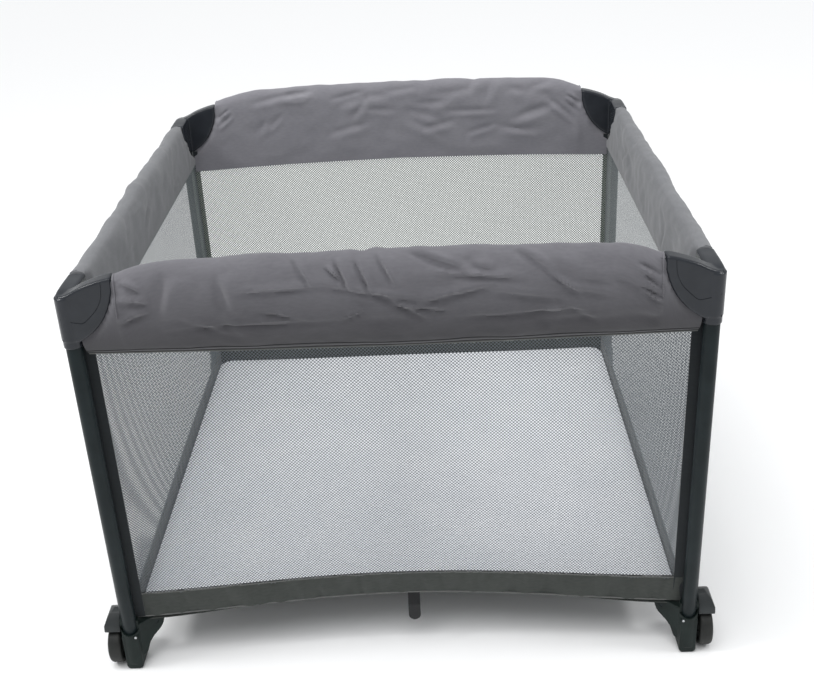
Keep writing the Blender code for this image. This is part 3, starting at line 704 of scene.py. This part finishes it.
def make_wheel():
    """A wheel on the origin, its axle along X."""
    body = rod((-HALF_WIDTH, 0, 0), (HALF_WIDTH, 0, 0), WHEEL_R, 72)
    for way in (-1, 1):
        with editing(body):
            choose(body, "FACE", lambda f, way=way: f.normal.x * way > 0.9)
            bpy.ops.mesh.inset(thickness=6.5 * MM)
            bpy.ops.mesh.extrude_region_move(TRANSFORM_OT_translate={"value": (-way * 3.5 * MM, 0, 0)})
            bpy.ops.mesh.inset(thickness=15.0 * MM)
            bpy.ops.mesh.extrude_region_move(TRANSFORM_OT_translate={"value": (way * 2.5 * MM, 0, 0)})
    with editing(body, "EDGE"):
        choose(body, "EDGE", lambda e: all(abs(v.co.x) > HALF_WIDTH - 1e-5
                                           and v.co.yz.length > WHEEL_R - 1e-4 for v in e.verts))
        bpy.ops.mesh.bevel(offset=5.5 * MM, segments=6, affect="EDGES")
    apply(body, "BEVEL", width=0.8 * MM, segments=2, limit_method="ANGLE", angle_limit=math.radians(50))
    boolean(body, [rod((-0.05, 0, 0), (0.05, 0, 0), 0.0035, 32)], "DIFFERENCE")
    return smooth(body, 40)


def make_axle():
    """Rivet axle on the wheel's centre line, its domed head outwards (-X)."""
    shaft = rod((-0.0435, 0, 0), (-0.0010, 0, 0), 0.0030, 32)
    head = rod((-0.0446, 0, 0), (-0.0402, 0, 0), 0.0058, 40)
    boolean(shaft, [head], "UNION")
    apply(shaft, "BEVEL", width=1.0 * MM, segments=3, limit_method="ANGLE", angle_limit=math.radians(50))
    return smooth(shaft, 40)


wheel, axle = make_wheel(), make_axle()
for corner in ("fl", "fr"):
    centre = Vector(JOINT["wheel_" + corner]["pos_m"])
    low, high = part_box("wheel_" + corner)
    turned = paint(copied(wheel, "wheel_moulded_" + corner,
                          Matrix.Translation(((low.x + high.x) / 2, centre.y, centre.z))),
                   wheel_plastic)
    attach(turned, "wheel_" + corner)
    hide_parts("wheel_" + corner)
    side = Matrix.Diagonal((-CORNERS[corner][0], 1, 1, 1))
    pin = copied(axle, "axle_rivet_" + corner, Matrix.Translation(centre) @ side)
    paint(pin, zinc_steel)
    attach(pin, "corner_" + corner)
    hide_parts("axle_" + corner)
for part in (wheel, axle):
    bpy.data.objects.remove(part, do_unlink=True)
print("wheels", round(2 * WHEEL_R * 1000), "mm across")

# %% [markdown]
# ## The working parts underneath
# Rails, latches, buttons, the hub and the floor tubes already have their true shapes in the frame. They
# keep those shapes and only take on their real finishes.

# %% Finishes for the frame's own parts
for node, obj in frame["nodes"].items():
    for start, mat in (("rail_", powder_coat), ("floor_tube_", powder_coat), ("latch_", foot_plastic),
                       ("button_", button_plastic), ("hub", foot_plastic)):
        if node.startswith(start):
            obj.data.materials.clear()
            obj.data.materials.append(mat)

# %% [markdown]
# ## A grid that becomes cloth
# Every cloth piece starts as Blender's grid. Its points are moved onto a surface that is worked out
# row by row, and its UV map is laid out in metres, so weave and net keep their size.

# %% Cloth grid
def cloth_grid(name, points, uv):
    """A grid primitive whose point (i, j) is moved to points[i, j]; uv[i, j] is in metres."""
    across, up = points.shape[:2]
    bpy.ops.mesh.primitive_grid_add(x_subdivisions=across - 1, y_subdivisions=up - 1, size=2.0)
    obj = bpy.context.object
    obj.name = obj.data.name = name
    flat = np.empty(len(obj.data.vertices) * 3)
    obj.data.vertices.foreach_get("co", flat)
    flat = flat.reshape(-1, 3)
    i = np.rint((flat[:, 0] + 1) / 2 * (across - 1)).astype(int)
    j = np.rint((flat[:, 1] + 1) / 2 * (up - 1)).astype(int)
    obj.data.vertices.foreach_set("co", points[i, j].ravel())
    layer = obj.data.uv_layers[0]
    layer.name = "cloth"
    corner = np.empty(len(obj.data.loops), int)
    obj.data.loops.foreach_get("vertex_index", corner)
    layer.data.foreach_set("uv", uv[i[corner], j[corner]].ravel())
    obj.data.update()
    return obj


def face_out(obj, outwards):
    """Flip the whole sheet if its middle faces away from the direction outwards."""
    if obj.data.polygons[len(obj.data.polygons) // 2].normal.dot(outwards) < 0:
        obj.data.flip_normals()
    return obj


def metres_uv(points):
    """UV in metres: distance along the first row and up each column."""
    along = np.concatenate([[0], np.cumsum(np.linalg.norm(np.diff(points[:, 0], axis=0), axis=1))])
    up = np.concatenate([np.zeros((points.shape[0], 1)),
                         np.cumsum(np.linalg.norm(np.diff(points, axis=1), axis=2), axis=1)], axis=1)
    return np.stack([np.broadcast_to(along[:, None], up.shape), up], axis=2)


def edge_strand(line, radius, name):
    """A rolled edge or thread along a line, with its own UV in metres."""
    strand = cord_along([Vector(p) for p in line], radius, name)
    layer = strand.data.uv_layers[0] if strand.data.uv_layers else strand.data.uv_layers.new(name="cloth")
    layer.name = "cloth"
    for loop in strand.data.loops:
        place = strand.data.vertices[loop.vertex_index].co
        layer.data[loop.index].uv = (place.x + place.y, place.z)
    return strand


SIDES = {"front": (X, -Y), "rear": (X, Y), "left": (Y, -X), "right": (Y, X)}
ENDS = {"front": ("corner_fl", "corner_fr"), "rear": ("corner_bl", "corner_br"),
        "left": ("corner_fl", "corner_bl"), "right": ("corner_fr", "corner_br")}
DEEP = ("front", "rear")                         # the two sides with the deep, raised covers


def place_on(side, along, out, z):
    """Points of one side of the pen: along it from its middle, out from its leg axes, and up."""
    run, face = (np.array(v) for v in SIDES[side])
    along, out, z = np.broadcast_arrays(along, out, z)
    return along[..., None] * run + (LEG + out)[..., None] * face + z[..., None] * np.array(Z)

# %% [markdown]
# ## Rail covers
# A cover is a long padded sleeve: the cloth comes up from the hem on the inside, over the foam round the
# rail, and down to the hem again. The front and rear ones are deep and rise at the middle; the side ones
# are level. Its creases are laid in one by one, each a valley with a rounded lip, as a hand presses folds
# into foam: radiating ones at the middle, where the sleeve is pulled over the latch, long ones above the
# hem, and tucks beside the castings. The sheet is then parted over the latch and at the castings, because
# each part moves with its own rail.

# %% Cover shape
HIGH_SECTION = [(-0.0190, 0.6125), (-0.0196, 0.640), (-0.0190, 0.675), (-0.0180, 0.708), (-0.0162, 0.737),
                (-0.0108, 0.7545), (0.0, 0.7625), (0.0108, 0.7550), (0.0166, 0.740), (0.0184, 0.712),
                (0.0172, 0.682), (0.0118, 0.650), (0.0010, 0.626), (-0.0110, 0.6135)]
LOW_SECTION = [(-0.0190, 0.6125), (-0.0196, 0.636), (-0.0192, 0.664), (-0.0180, 0.692), (-0.0128, 0.7115),
               (0.0, 0.7180), (0.0128, 0.7115), (0.0180, 0.694), (0.0178, 0.670), (0.0110, 0.641),
               (0.0, 0.623), (-0.0110, 0.6135)]
CROWN = {"front": [(0.0, 0.7630), (0.15, 0.7625), (0.30, 0.7590), (0.365, 0.7515), (0.4045, 0.7395),
                   (0.47, 0.728)],
         "rear": [(0.0, 0.7740), (0.15, 0.7725), (0.30, 0.7685), (0.36, 0.7590), (0.4045, 0.7450),
                  (0.47, 0.728)],
         "left": [(0.0, 0.7215), (0.04, 0.7190), (0.12, 0.7165), (0.30, 0.7160), (0.4045, 0.7155),
                  (0.47, 0.712)]}
CROWN["right"] = CROWN["left"]
HEM_LINE = {"front": [(0.0, 0.6010), (0.25, 0.6030), (0.47, 0.6070)],
            "rear": [(0.0, 0.6070), (0.25, 0.6030), (0.47, 0.5940)],
            "left": [(0.0, 0.6125), (0.47, 0.6125)]}
HEM_LINE["right"] = HEM_LINE["left"]
SPLIT = WING_TIP + 0.0012                        # sleeves end this far from the leg axis
COLUMNS = 151                                    # columns of points in half a sleeve
END_COLUMNS = 11
CHEEK = 0.0102                                   # half the space between a wing's cheeks
NARROWING = 0.022                                # length over which a sleeve slims to fit there
TUCKED = 0.012                                   # how far the tuck reaches up inside a wing


def sleeve_points(side):
    """Points of a whole cover, from leg to leg: columns along the side, rows round the section."""
    section = HIGH_SECTION if side in DEEP else LOW_SECTION
    line = curve_through([(o, 0, z) for o, z in section], 8)
    out, z = np.array([p.x for p in line]), np.array([p.z for p in line])
    top = z.max()
    half = LEG - SPLIT
    body = np.linspace(0, half, COLUMNS)
    end = np.linspace(half, LEG - 0.0175, END_COLUMNS)[1:]
    along = np.concatenate([-end[::-1], -body[::-1][:-1], body, end])
    far = np.abs(along)
    ridge = curve_through([(a, 0, b) for a, b in CROWN[side]], 8)
    crown = np.interp(far, [p.x for p in ridge], [p.z for p in ridge])
    lift = (z - HEM) / (top - HEM)
    hem = np.interp(far, *zip(*HEM_LINE[side]))[:, None]
    rise = hem + lift[None, :] * (crown[:, None] - hem)
    # beside a casting the sleeve narrows to slip between the cheeks of the wing
    narrow = np.clip((far - (half - NARROWING)) / NARROWING, 0, 1)
    narrow = narrow * narrow * (3 - 2 * narrow)
    wing_low = lowered(LOW_EDGE, FRONT_TOP if side in DEEP else SIDE_TOP)
    edge = np.interp(LEG - far, *zip(*wing_low))[:, None]
    beside = np.clip((rise - edge + 0.014) / 0.010, 0, 1)
    narrow = narrow[:, None] * beside
    slim = np.sign(out)[None, :] * np.minimum(np.abs(out)[None, :], CHEEK)
    wide = out[None, :] * (1 - narrow) + slim * narrow
    past = np.clip((far - half) / 0.002, 0, 1)[:, None]
    rise = rise * (1 - past) + np.minimum(rise, edge + TUCKED) * past
    return along, place_on(side, along[:, None], wide, rise)

# %% Creases
def crease(along, down, start, end, width, depth):
    """Depth of one fold in the cloth: a valley from start to end with a rounded lip beside it."""
    (a, b), (c, d) = start, end
    length = math.hypot(c - a, d - b)
    ahead = ((along - a) * (c - a) + (down - b) * (d - b)) / length ** 2
    beside = ((along - a) * (d - b) - (down - b) * (c - a)) / length
    taper = np.sin(np.clip(ahead, 0, 1) * math.pi) ** 0.8
    fold = 0.75 * np.exp(-((beside - 1.7 * width) / (1.3 * width)) ** 2) - np.exp(-(beside / width) ** 2)
    return depth * taper * fold


# the front cover's own creases, each from (along, down) to (along, down) and its width and depth, in
# millimetres along the side from its middle and down the outer face from the crown
FRONT_CREASES = [(-232, 62, -90, 58, 5, 3.4), (-105, 55, 50, 88, 6, 4.0), (-340, 116, -40, 112, 5, 2.4),
                 (-137, 12, -112, 58, 4, 3.2), (-90, 26, -66, 50, 3, 3.6), (-76, 14, -56, 66, 4, 4.0),
                 (-46, 16, -24, 72, 4, 4.2), (-14, 10, 10, 60, 4, 3.6), (-250, 28, -240, 92, 11, 4.0),
                 (-322, 20, -350, 88, 13, 5.0), (-392, 22, -362, 46, 4, 3.6), (-398, 50, -352, 66, 5, 4.2),
                 (-402, 84, -350, 80, 5, 3.4), (-70, 112, -30, 96, 3, 2.2), (30, 8, 122, 44, 6, 4.4),
                 (60, 44, 205, 56, 5, 3.6), (186, 10, 242, 46, 6, 4.0), (228, 42, 284, 86, 4, 3.4),
                 (40, 92, 168, 62, 6, 3.8), (90, 118, 330, 104, 6, 3.0), (398, 36, 362, 26, 4, 3.4),
                 (404, 58, 372, 44, 3, 4.2), (404, 72, 366, 62, 3, 4.0), (140, 74, 260, 92, 7, 3.0),
                 (-20, 70, 60, 120, 5, 3.2), (-200, 92, -120, 108, 5, 2.6), (0, 92, 96, 104, 4, 3.0)]


def scattered(seed, count, reach, heights, gentle):
    """Creases for a face nobody has handled much: longer and softer, from a fixed random seed."""
    rng = np.random.default_rng(seed)
    made = []
    for _ in range(count):
        a, b = rng.uniform(-reach, reach), rng.uniform(*heights)
        run, turn = rng.uniform(40, 150), rng.normal(0.15, 0.5)
        made.append((a, b, a + run * math.cos(turn), b + run * math.sin(turn) * 0.6,
                     rng.uniform(5, 10), gentle * rng.uniform(0.6, 1.3)))
    return made


WIDTH_BY, DEPTH_BY = 0.85, 1.6                   # presses the front creases in narrower and deeper
CREASES = {"front": [(*c[:4], c[4] * WIDTH_BY, c[5] * DEPTH_BY) for c in FRONT_CREASES]
           + scattered(6, 18, 330, (18, 125), 3.0) + scattered(4, 12, 380, (-120, -20), 2.2),
           "rear": scattered(9, 30, 330, (-125, -15), 2.8) + scattered(12, 10, 380, (20, 120), 2.0)
           + [(-402, -60, -366, -44, 4, 3.4), (402, -60, 366, -44, 4, 3.4), (-402, -40, -370, -30, 3, 3.0),
              (402, -40, 370, -30, 3, 3.0)],
           "left": scattered(21, 16, 380, (-80, -10), 1.6) + scattered(22, 12, 380, (10, 80), 1.6),
           "right": scattered(31, 16, 380, (-80, -10), 1.6) + scattered(32, 12, 380, (10, 80), 1.6)}


ROOM_DEEP, ROOM_LEVEL, ROOM_BELOW = 0.0030, 0.0012, 0.0072     # foam that a valley may press in
PADDING, HIGHEST_LIP = 0.0008, 0.0055


def creased(side, points, along):
    """Push the sleeve's points in and out along the section's own normal."""
    step = np.gradient(points, axis=1)
    face = np.cross(step, np.array(SIDES[side][0]))
    face /= np.maximum(np.linalg.norm(face, axis=2, keepdims=True), 1e-9)    # rows may meet in a tuck
    middle = points.shape[1] // 2
    if face[0, middle, 2] < 0:
        face = -face
    length = np.linalg.norm(np.diff(points, axis=1), axis=2)
    down = np.concatenate([np.zeros((len(along), 1)), np.cumsum(length, axis=1)], axis=1)
    down -= down[np.arange(len(along)), points[:, :, 2].argmax(axis=1)][:, None]
    far = np.broadcast_to(along[:, None], down.shape)
    depth = np.zeros(down.shape)
    for a, b, c, d, width, high in CREASES[side]:
        depth += crease(far, down, (a * MM, b * MM), (c * MM, d * MM), width * MM, high * MM)
    soft = np.array([[noise.noise(Vector((a * 13, b * 15, len(side)))) * 3.0
                      + noise.noise(Vector((a * 38, b * 42, len(side) + 5))) * 1.1
                      for b in row] for a, row in zip(along, down)]) * MM
    # nothing moves at the hem or inside a casting, and no valley reaches the rail
    hem = np.clip(np.minimum(down - down[:, :1], down[:, -1:] - down) / 0.022, 0, 1)
    end = np.clip((LEG - SPLIT + 0.004 - np.abs(along)) / 0.010, 0, 1)[:, None]
    over_rail = ROOM_DEEP if side in DEEP else ROOM_LEVEL
    room = np.where(points[:, :, 2] > RAIL_Y - 0.03, over_rail, ROOM_BELOW)
    pinch = np.clip((LEG - SPLIT - 0.004 - np.abs(along)) / 0.022, 0, 1)[:, None]
    depth = np.maximum(np.minimum(depth + soft + PADDING, HIGHEST_LIP), -room * pinch) * hem * end
    print(side, "cover creased, deepest", round(float(-depth.min()) * 1000, 1), "mm")
    return clear_of_rail(side, points + face * depth[..., None], along)


def clear_of_rail(side, points, along):
    """Move any point that is inside the rail tube, or closer than a cloth's thickness, out to its skin."""
    rail_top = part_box(f"rail_{side}_a")[1].z
    out_axis = np.array(SIDES[side][1])
    out, up = points @ out_axis - LEG, points[:, :, 2] - (rail_top - LEG_R)
    gap = np.hypot(out, up)
    skin = np.where(np.abs(along) < LEG - 0.105, LEG_R + 0.0013, 0)[:, None]
    grow = np.maximum(skin / np.maximum(gap, 1e-6), 1.0) - 1.0
    return points + (out * grow)[..., None] * out_axis + (up * grow)[..., None] * np.array(Z)

# %% Cover pieces
TURNED_ROWS = 30                                 # rows of the section that show a turned edge


def sleeve_piece(name, points, uv):
    """A closed padded roll from a run of columns: the hem is bridged and both ends are capped."""
    roll = cloth_grid(name, points, uv)
    with editing(roll, "EDGE"):
        low = [points[:, 0], points[:, -1]]
        spots = [{tuple(np.round(p, 5)) for p in row.astype(np.float32).astype(float)} for row in low]
        choose(roll, "EDGE", lambda e: e.is_boundary and any(
            all(tuple(round(c, 5) for c in v.co) in s for v in e.verts) for s in spots))
        bpy.ops.mesh.bridge_edge_loops()
        choose(roll, "EDGE", lambda e: e.is_boundary)
        bpy.ops.mesh.fill_holes(sides=0)
        bpy.ops.mesh.select_all(action="SELECT")
        bpy.ops.mesh.normals_make_consistent(inside=False)
    return smooth(roll, 50)


def flattened(piece, body):
    """Hang a cover piece on body, giving it a mesh of its own."""
    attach(piece, body)
    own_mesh(piece)


def make_cover(side):
    """The cover of one side: two sleeves that turn with the rail halves, two tucks, and their sewing."""
    along, plain = sleeve_points(side)
    count = len(along)
    seams = [END_COLUMNS - 1, count // 2, count - END_COLUMNS]
    points = creased(side, plain, along)
    uv = metres_uv(plain)
    out_axis = np.array(SIDES[side][1])
    edges = [0, *seams, count - 1]
    for part, body, a, b in zip(("tuck_a", "sleeve_a", "sleeve_b", "tuck_b"),
                                (ENDS[side][0], side + "_a", side + "_b", ENDS[side][1]),
                                edges, edges[1:]):
        piece = sleeve_piece(f"cover_{part}_{side}", points[a:b + 1], uv[a:b + 1])
        paint(piece, COVER[side])
        flattened(piece, body)
        if part.startswith("sleeve"):
            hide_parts(f"cover_{side}_{part[-1]}")
        for kind, row, radius, mat in (("piping", -1, 1.9, piping_weave), ("seam", -3, 0.9, seam_thread_and_shadow),
                                       ("hem", -8, 0.9, seam_thread_and_shadow)):
            line = points[a:b + 1, row] + out_axis * (0.0004 if kind != "piping" else 0.0)
            strand = edge_strand(line, radius * MM, f"{kind}_{part}_{side}")
            flattened(smooth(paint(strand, mat), 60), body)
    # the turned edge of the sleeve, where it runs into the casting
    for seam, letter in ((seams[0] + 1, "a"), (seams[2] - 1, "b")):
        crown_row = int(points[seam, :, 2].argmax())
        outer = points[seam, crown_row:crown_row + TURNED_ROWS] + out_axis * 0.0006
        turned = edge_strand(outer, 1.3 * MM, f"turned_edge_{letter}_{side}")
        flattened(smooth(paint(turned, COVER[side]), 60), f"{side}_{letter}")


for side in SIDES:
    make_cover(side)

# %% [markdown]
# ## Net walls
# Each wall is one panel of knitted net sewn to the cover's hem above and to a dark woven band below. The
# panel hangs in tension between the legs, where a binding tape is tied along each tube. On the front and
# rear the mat pulls the foot of the panel inwards and up at the middle, so the surface is worked out with
# that bow in it; the band carries small upright puckers where it is gathered by its seams.

# %% Wall surface
BAND_LOW, BAND_TOP = 0.0925, 0.1400
WALL_HALF = {"front": 0.4745, "rear": 0.4745, "left": 0.4642, "right": 0.4642}    # behind the legs
TAPE_IN, TAPE_TOP = 0.4544, 0.6400               # inner edge and upper end of the binding tapes
SET_IN = WALL - LEG
BOW = {"front": 0.028, "rear": 0.028, "left": -0.003, "right": -0.003}     # inwards, at the foot
PUCKER = {"front": 0.0036, "rear": 0.0036, "left": 0.0018, "right": 0.0018}


def wall_point(side, u, z):
    """A point of the wall at u (-1..1 along it) and height z."""
    low = np.clip((HEM - z) / (HEM - BAND_LOW), 0, 1)
    middle = np.cos(np.clip(u, -1, 1) * math.pi / 2) ** 1.5
    inward = BOW[side] * middle * low ** 1.6
    lift = 0.012 * middle * low ** 3 * (side in DEEP)
    return place_on(side, u * WALL_HALF[side], SET_IN - inward, z + lift)


def wall_grid(side, name, low, high, across, up, pucker=0.0):
    """One sheet of the wall between two heights, puckered in and out."""
    u, z = np.meshgrid(np.linspace(-1, 1, across), np.linspace(low, high, up), indexing="ij")
    points = wall_point(side, u, z)
    face = np.array(SIDES[side][1])
    if pucker:
        wave = np.array([[noise.noise(Vector((a * 19 + len(side), b * 16, 3.1)))
                          + 0.6 * noise.noise(Vector((a * 52, b * 20, 7.7)))
                          for b in z[0]] for a in u[:, 0]])
        points = points + (wave * pucker)[..., None] * face
    return cloth_grid(name, points, metres_uv(points))


def wall_part(obj, side, mat):
    """Finish one piece of a wall and hang it on the wall's own leg."""
    smooth(paint(obj, mat), 60)
    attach(obj, ENDS[side][0])
    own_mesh(obj)


def make_wall(side):
    """A net panel, its base band, the seams and edges, and a binding tape along each leg."""
    outwards = SIDES[side][1]
    panel = wall_grid(side, f"net_panel_{side}", BAND_TOP - 0.004, HEM + 0.002, 101, 49)
    wall_part(face_out(panel, outwards), side, NET[side])
    band = wall_grid(side, f"base_band_{side}", BAND_LOW, BAND_TOP, 241, 11, PUCKER[side])
    face_out(band, outwards)
    apply(band, "SOLIDIFY", thickness=2.0 * MM, offset=0.0)
    wall_part(band, side, band_weave)
    for name, z, radius, mat in (("band_edge_top", BAND_TOP, 1.2, piping_weave),
                                 ("band_edge_low", BAND_LOW, 1.3, piping_weave),
                                 ("net_seam_top", HEM - 0.006, 0.7, seam_thread_and_shadow),
                                 ("net_seam_low", BAND_TOP + 0.003, 0.7, seam_thread_and_shadow)):
        line = wall_point(side, np.linspace(-1, 1, 61), np.full(61, z))
        line = line + np.array(outwards) * 0.0008
        wall_part(edge_strand(line, radius * MM, f"{name}_{side}"), side, mat)
    for way in (-1, 1):
        u = way * np.linspace(TAPE_IN / WALL_HALF[side], 1, 4)
        z = np.linspace(BAND_LOW, TAPE_TOP, 41)
        grid_u, grid_z = np.meshgrid(u, z, indexing="ij")
        tape_points = wall_point(side, grid_u, grid_z) + np.array(outwards) * 0.0012
        tape = cloth_grid(f"binding_{side}_{'ab'[way > 0]}", tape_points, metres_uv(tape_points))
        face_out(tape, outwards)
        apply(tape, "SOLIDIFY", thickness=1.6 * MM, offset=0.0)
        wall_part(tape, side, binding_weave)
    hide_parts("wall_" + side)


for side in SIDES:
    make_wall(side)

# %% [markdown]
# ## Floor mat
# The mat is a thin quilted pad that lies on the cloth floor. It folds along the two middle lines, so it is
# made in four quarters that meet there with matching surfaces. Its front and rear edges are drawn in
# towards the middle, where the wall is bowed, and the cloth slackens into soft diagonal ripples.

# %% Mat quarters
MAT_LOW, MAT_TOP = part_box("mattress_fr")[0].z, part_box("mattress_fr")[1].z
MAT_HALF = 0.460
MAT_CORNER = 0.030                               # radius of the mat's corners


def to_middle(x, half):
    """1 on the middle line, falling to 0 at half, as a pulled edge curves."""
    return math.cos(min(1, abs(x) / half) * math.pi / 2)


def mat_edge(x):
    """Half depth of the mat at x: drawn in at the middle."""
    return 0.457 - 0.030 * to_middle(x, MAT_HALF) ** 1.5


def mat_surface(s, t):
    """Top surface of the mat at s, t in -1..1."""
    x = s * MAT_HALF
    y = t * mat_edge(x)
    # round the corners by drawing the far points in
    over_x = max(0.0, abs(x) - (MAT_HALF - MAT_CORNER))
    over_y = max(0.0, abs(y) - (mat_edge(x) - MAT_CORNER))
    reach = math.hypot(over_x, over_y)
    if reach > MAT_CORNER:
        pull = MAT_CORNER / reach
        x = math.copysign(abs(x) - over_x + over_x * pull, x)
        y = math.copysign(abs(y) - over_y + over_y * pull, y)
    ripple = noise.noise(Vector((x * 5.5 + y * 2.5, y * 7.0 - x * 2.0, 1.3))) * 0.0035
    ripple += noise.noise(Vector((x * 14 + y * 10, y * 13 - x * 9, 5.2))) * 0.0012
    edge = max(abs(s), abs(t))
    swell = 0.0030 * (1 - edge ** 6)
    rise = 0.014 * to_middle(x, MAT_HALF) ** 2 * abs(t) ** 5
    return x, y, MAT_TOP - 0.004 + ripple * (1 - edge ** 8) + swell + rise


def shaped_grid(name, surface, count, half):
    """A grid primitive whose points go where surface(s, t) says; UV in metres."""
    steps = np.linspace(-1, 1, count)
    points = np.array([[surface(s, t) for t in steps] for s in steps])
    flat = np.stack(np.meshgrid(steps * half, steps * half, indexing="ij"), axis=2)
    return cloth_grid(name, points, flat)


def quarter(whole, name, sx, sy):
    """One quarter of a closed piece: cut along both middle lines, keeping the whole's shading."""
    part = copied(whole, name)
    for normal in ((-sx, 0, 0), (0, -sy, 0)):
        with editing(part):
            bpy.ops.mesh.select_all(action="SELECT")
            bpy.ops.mesh.bisect(plane_co=(0, 0, 0), plane_no=normal, use_fill=True, clear_outer=True)
    return apply(smooth(part, 60), "DATA_TRANSFER", object=whole, use_loop_data=True,
                 data_types_loops={"CUSTOM_NORMAL"}, loop_mapping="NEAREST_POLYNOR")


def fold_quarter(part, corner):
    """A quarter rides its floor tube and folds up towards the diagonal."""
    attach(part, "tube_" + corner)
    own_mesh(part)


whole_mat = shaped_grid("whole_mat", mat_surface, 121, MAT_HALF)
face_out(whole_mat, Z)
apply(whole_mat, "SOLIDIFY", thickness=MAT_TOP - MAT_LOW - 0.008, offset=-1.0)
apply(whole_mat, "BEVEL", width=7.0 * MM, segments=4, limit_method="ANGLE", angle_limit=math.radians(60))
smooth(whole_mat, 60)
for corner, (sx, sy) in CORNERS.items():
    pad = paint(quarter(whole_mat, "mat_quarter_" + corner, sx, sy), mat_cloth)
    fold_quarter(pad, corner)
    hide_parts("mattress_" + corner)
bpy.data.objects.remove(whole_mat, do_unlink=True)

# %% [markdown]
# ## Cloth floor and strap
# The floor itself is a dark woven sheet stretched between the corners, just over the tubes. A strap
# hangs over its front edge at the middle: nylon webbing with a heat-cut, rounded end.

# %% Cloth floor and strap
floor_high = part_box("floor_fr")[1]
DRAWN_IN = 0.062                                 # the floor's front and rear edges, at the middle
STRAP_TOP = 0.1120


def floor_surface(s, t):
    """The cloth floor at s, t in -1..1, its edges drawn in to stay behind the bowed bands."""
    edge = floor_high.x - DRAWN_IN * to_middle(s, 1) ** 1.5
    return s * floor_high.x, t * edge, floor_high.z - 0.0006


whole_floor = shaped_grid("whole_floor", floor_surface, 41, floor_high.x)
face_out(whole_floor, Z)
apply(whole_floor, "SOLIDIFY", thickness=1.6 * MM, offset=-1.0)
smooth(whole_floor, 60)
for corner, (sx, sy) in CORNERS.items():
    part = paint(quarter(whole_floor, "floor_cloth_" + corner, sx, sy), band_weave)
    fold_quarter(part, corner)
    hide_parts("floor_" + corner)
bpy.data.objects.remove(whole_floor, do_unlink=True)

strap_low, strap_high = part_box("strap_tab")
strap_mid = (strap_low + strap_high) / 2
across = (strap_high.x - strap_low.x) / 2
rows = np.linspace(STRAP_TOP, strap_low.z + 0.0030, 24)
lean = 0.014 * np.clip((rows - strap_high.z) / 0.027, 0, 1)      # runs up behind the base band
round_off = np.sqrt(np.clip(1 - np.clip((rows[-1] + across - rows) / across, 0, 1) ** 2, 0.04, 1))
strap_points = np.stack([
    strap_mid.x + np.linspace(-1, 1, 9)[:, None] * across * round_off[None, :],
    strap_mid.y + (lean + 0.0007 * np.sin(rows * 90))[None, :] + np.zeros((9, 1)),
    rows[None, :] + np.zeros((9, 1))], axis=2)
strap = cloth_grid("strap_end", strap_points, metres_uv(strap_points))
apply(strap, "SOLIDIFY", thickness=1.5 * MM, offset=0.0)
paint(smooth(strap, 50), webbing)
fold_quarter(strap, "fr")
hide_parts("strap_tab")

# %% [markdown]
# ## Sizes and finish
# The box round the dressed pen is printed.

# %% Sizes and finish
low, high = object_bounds()
print("dressed box", [round(v, 4) for v in (*low, *high)])
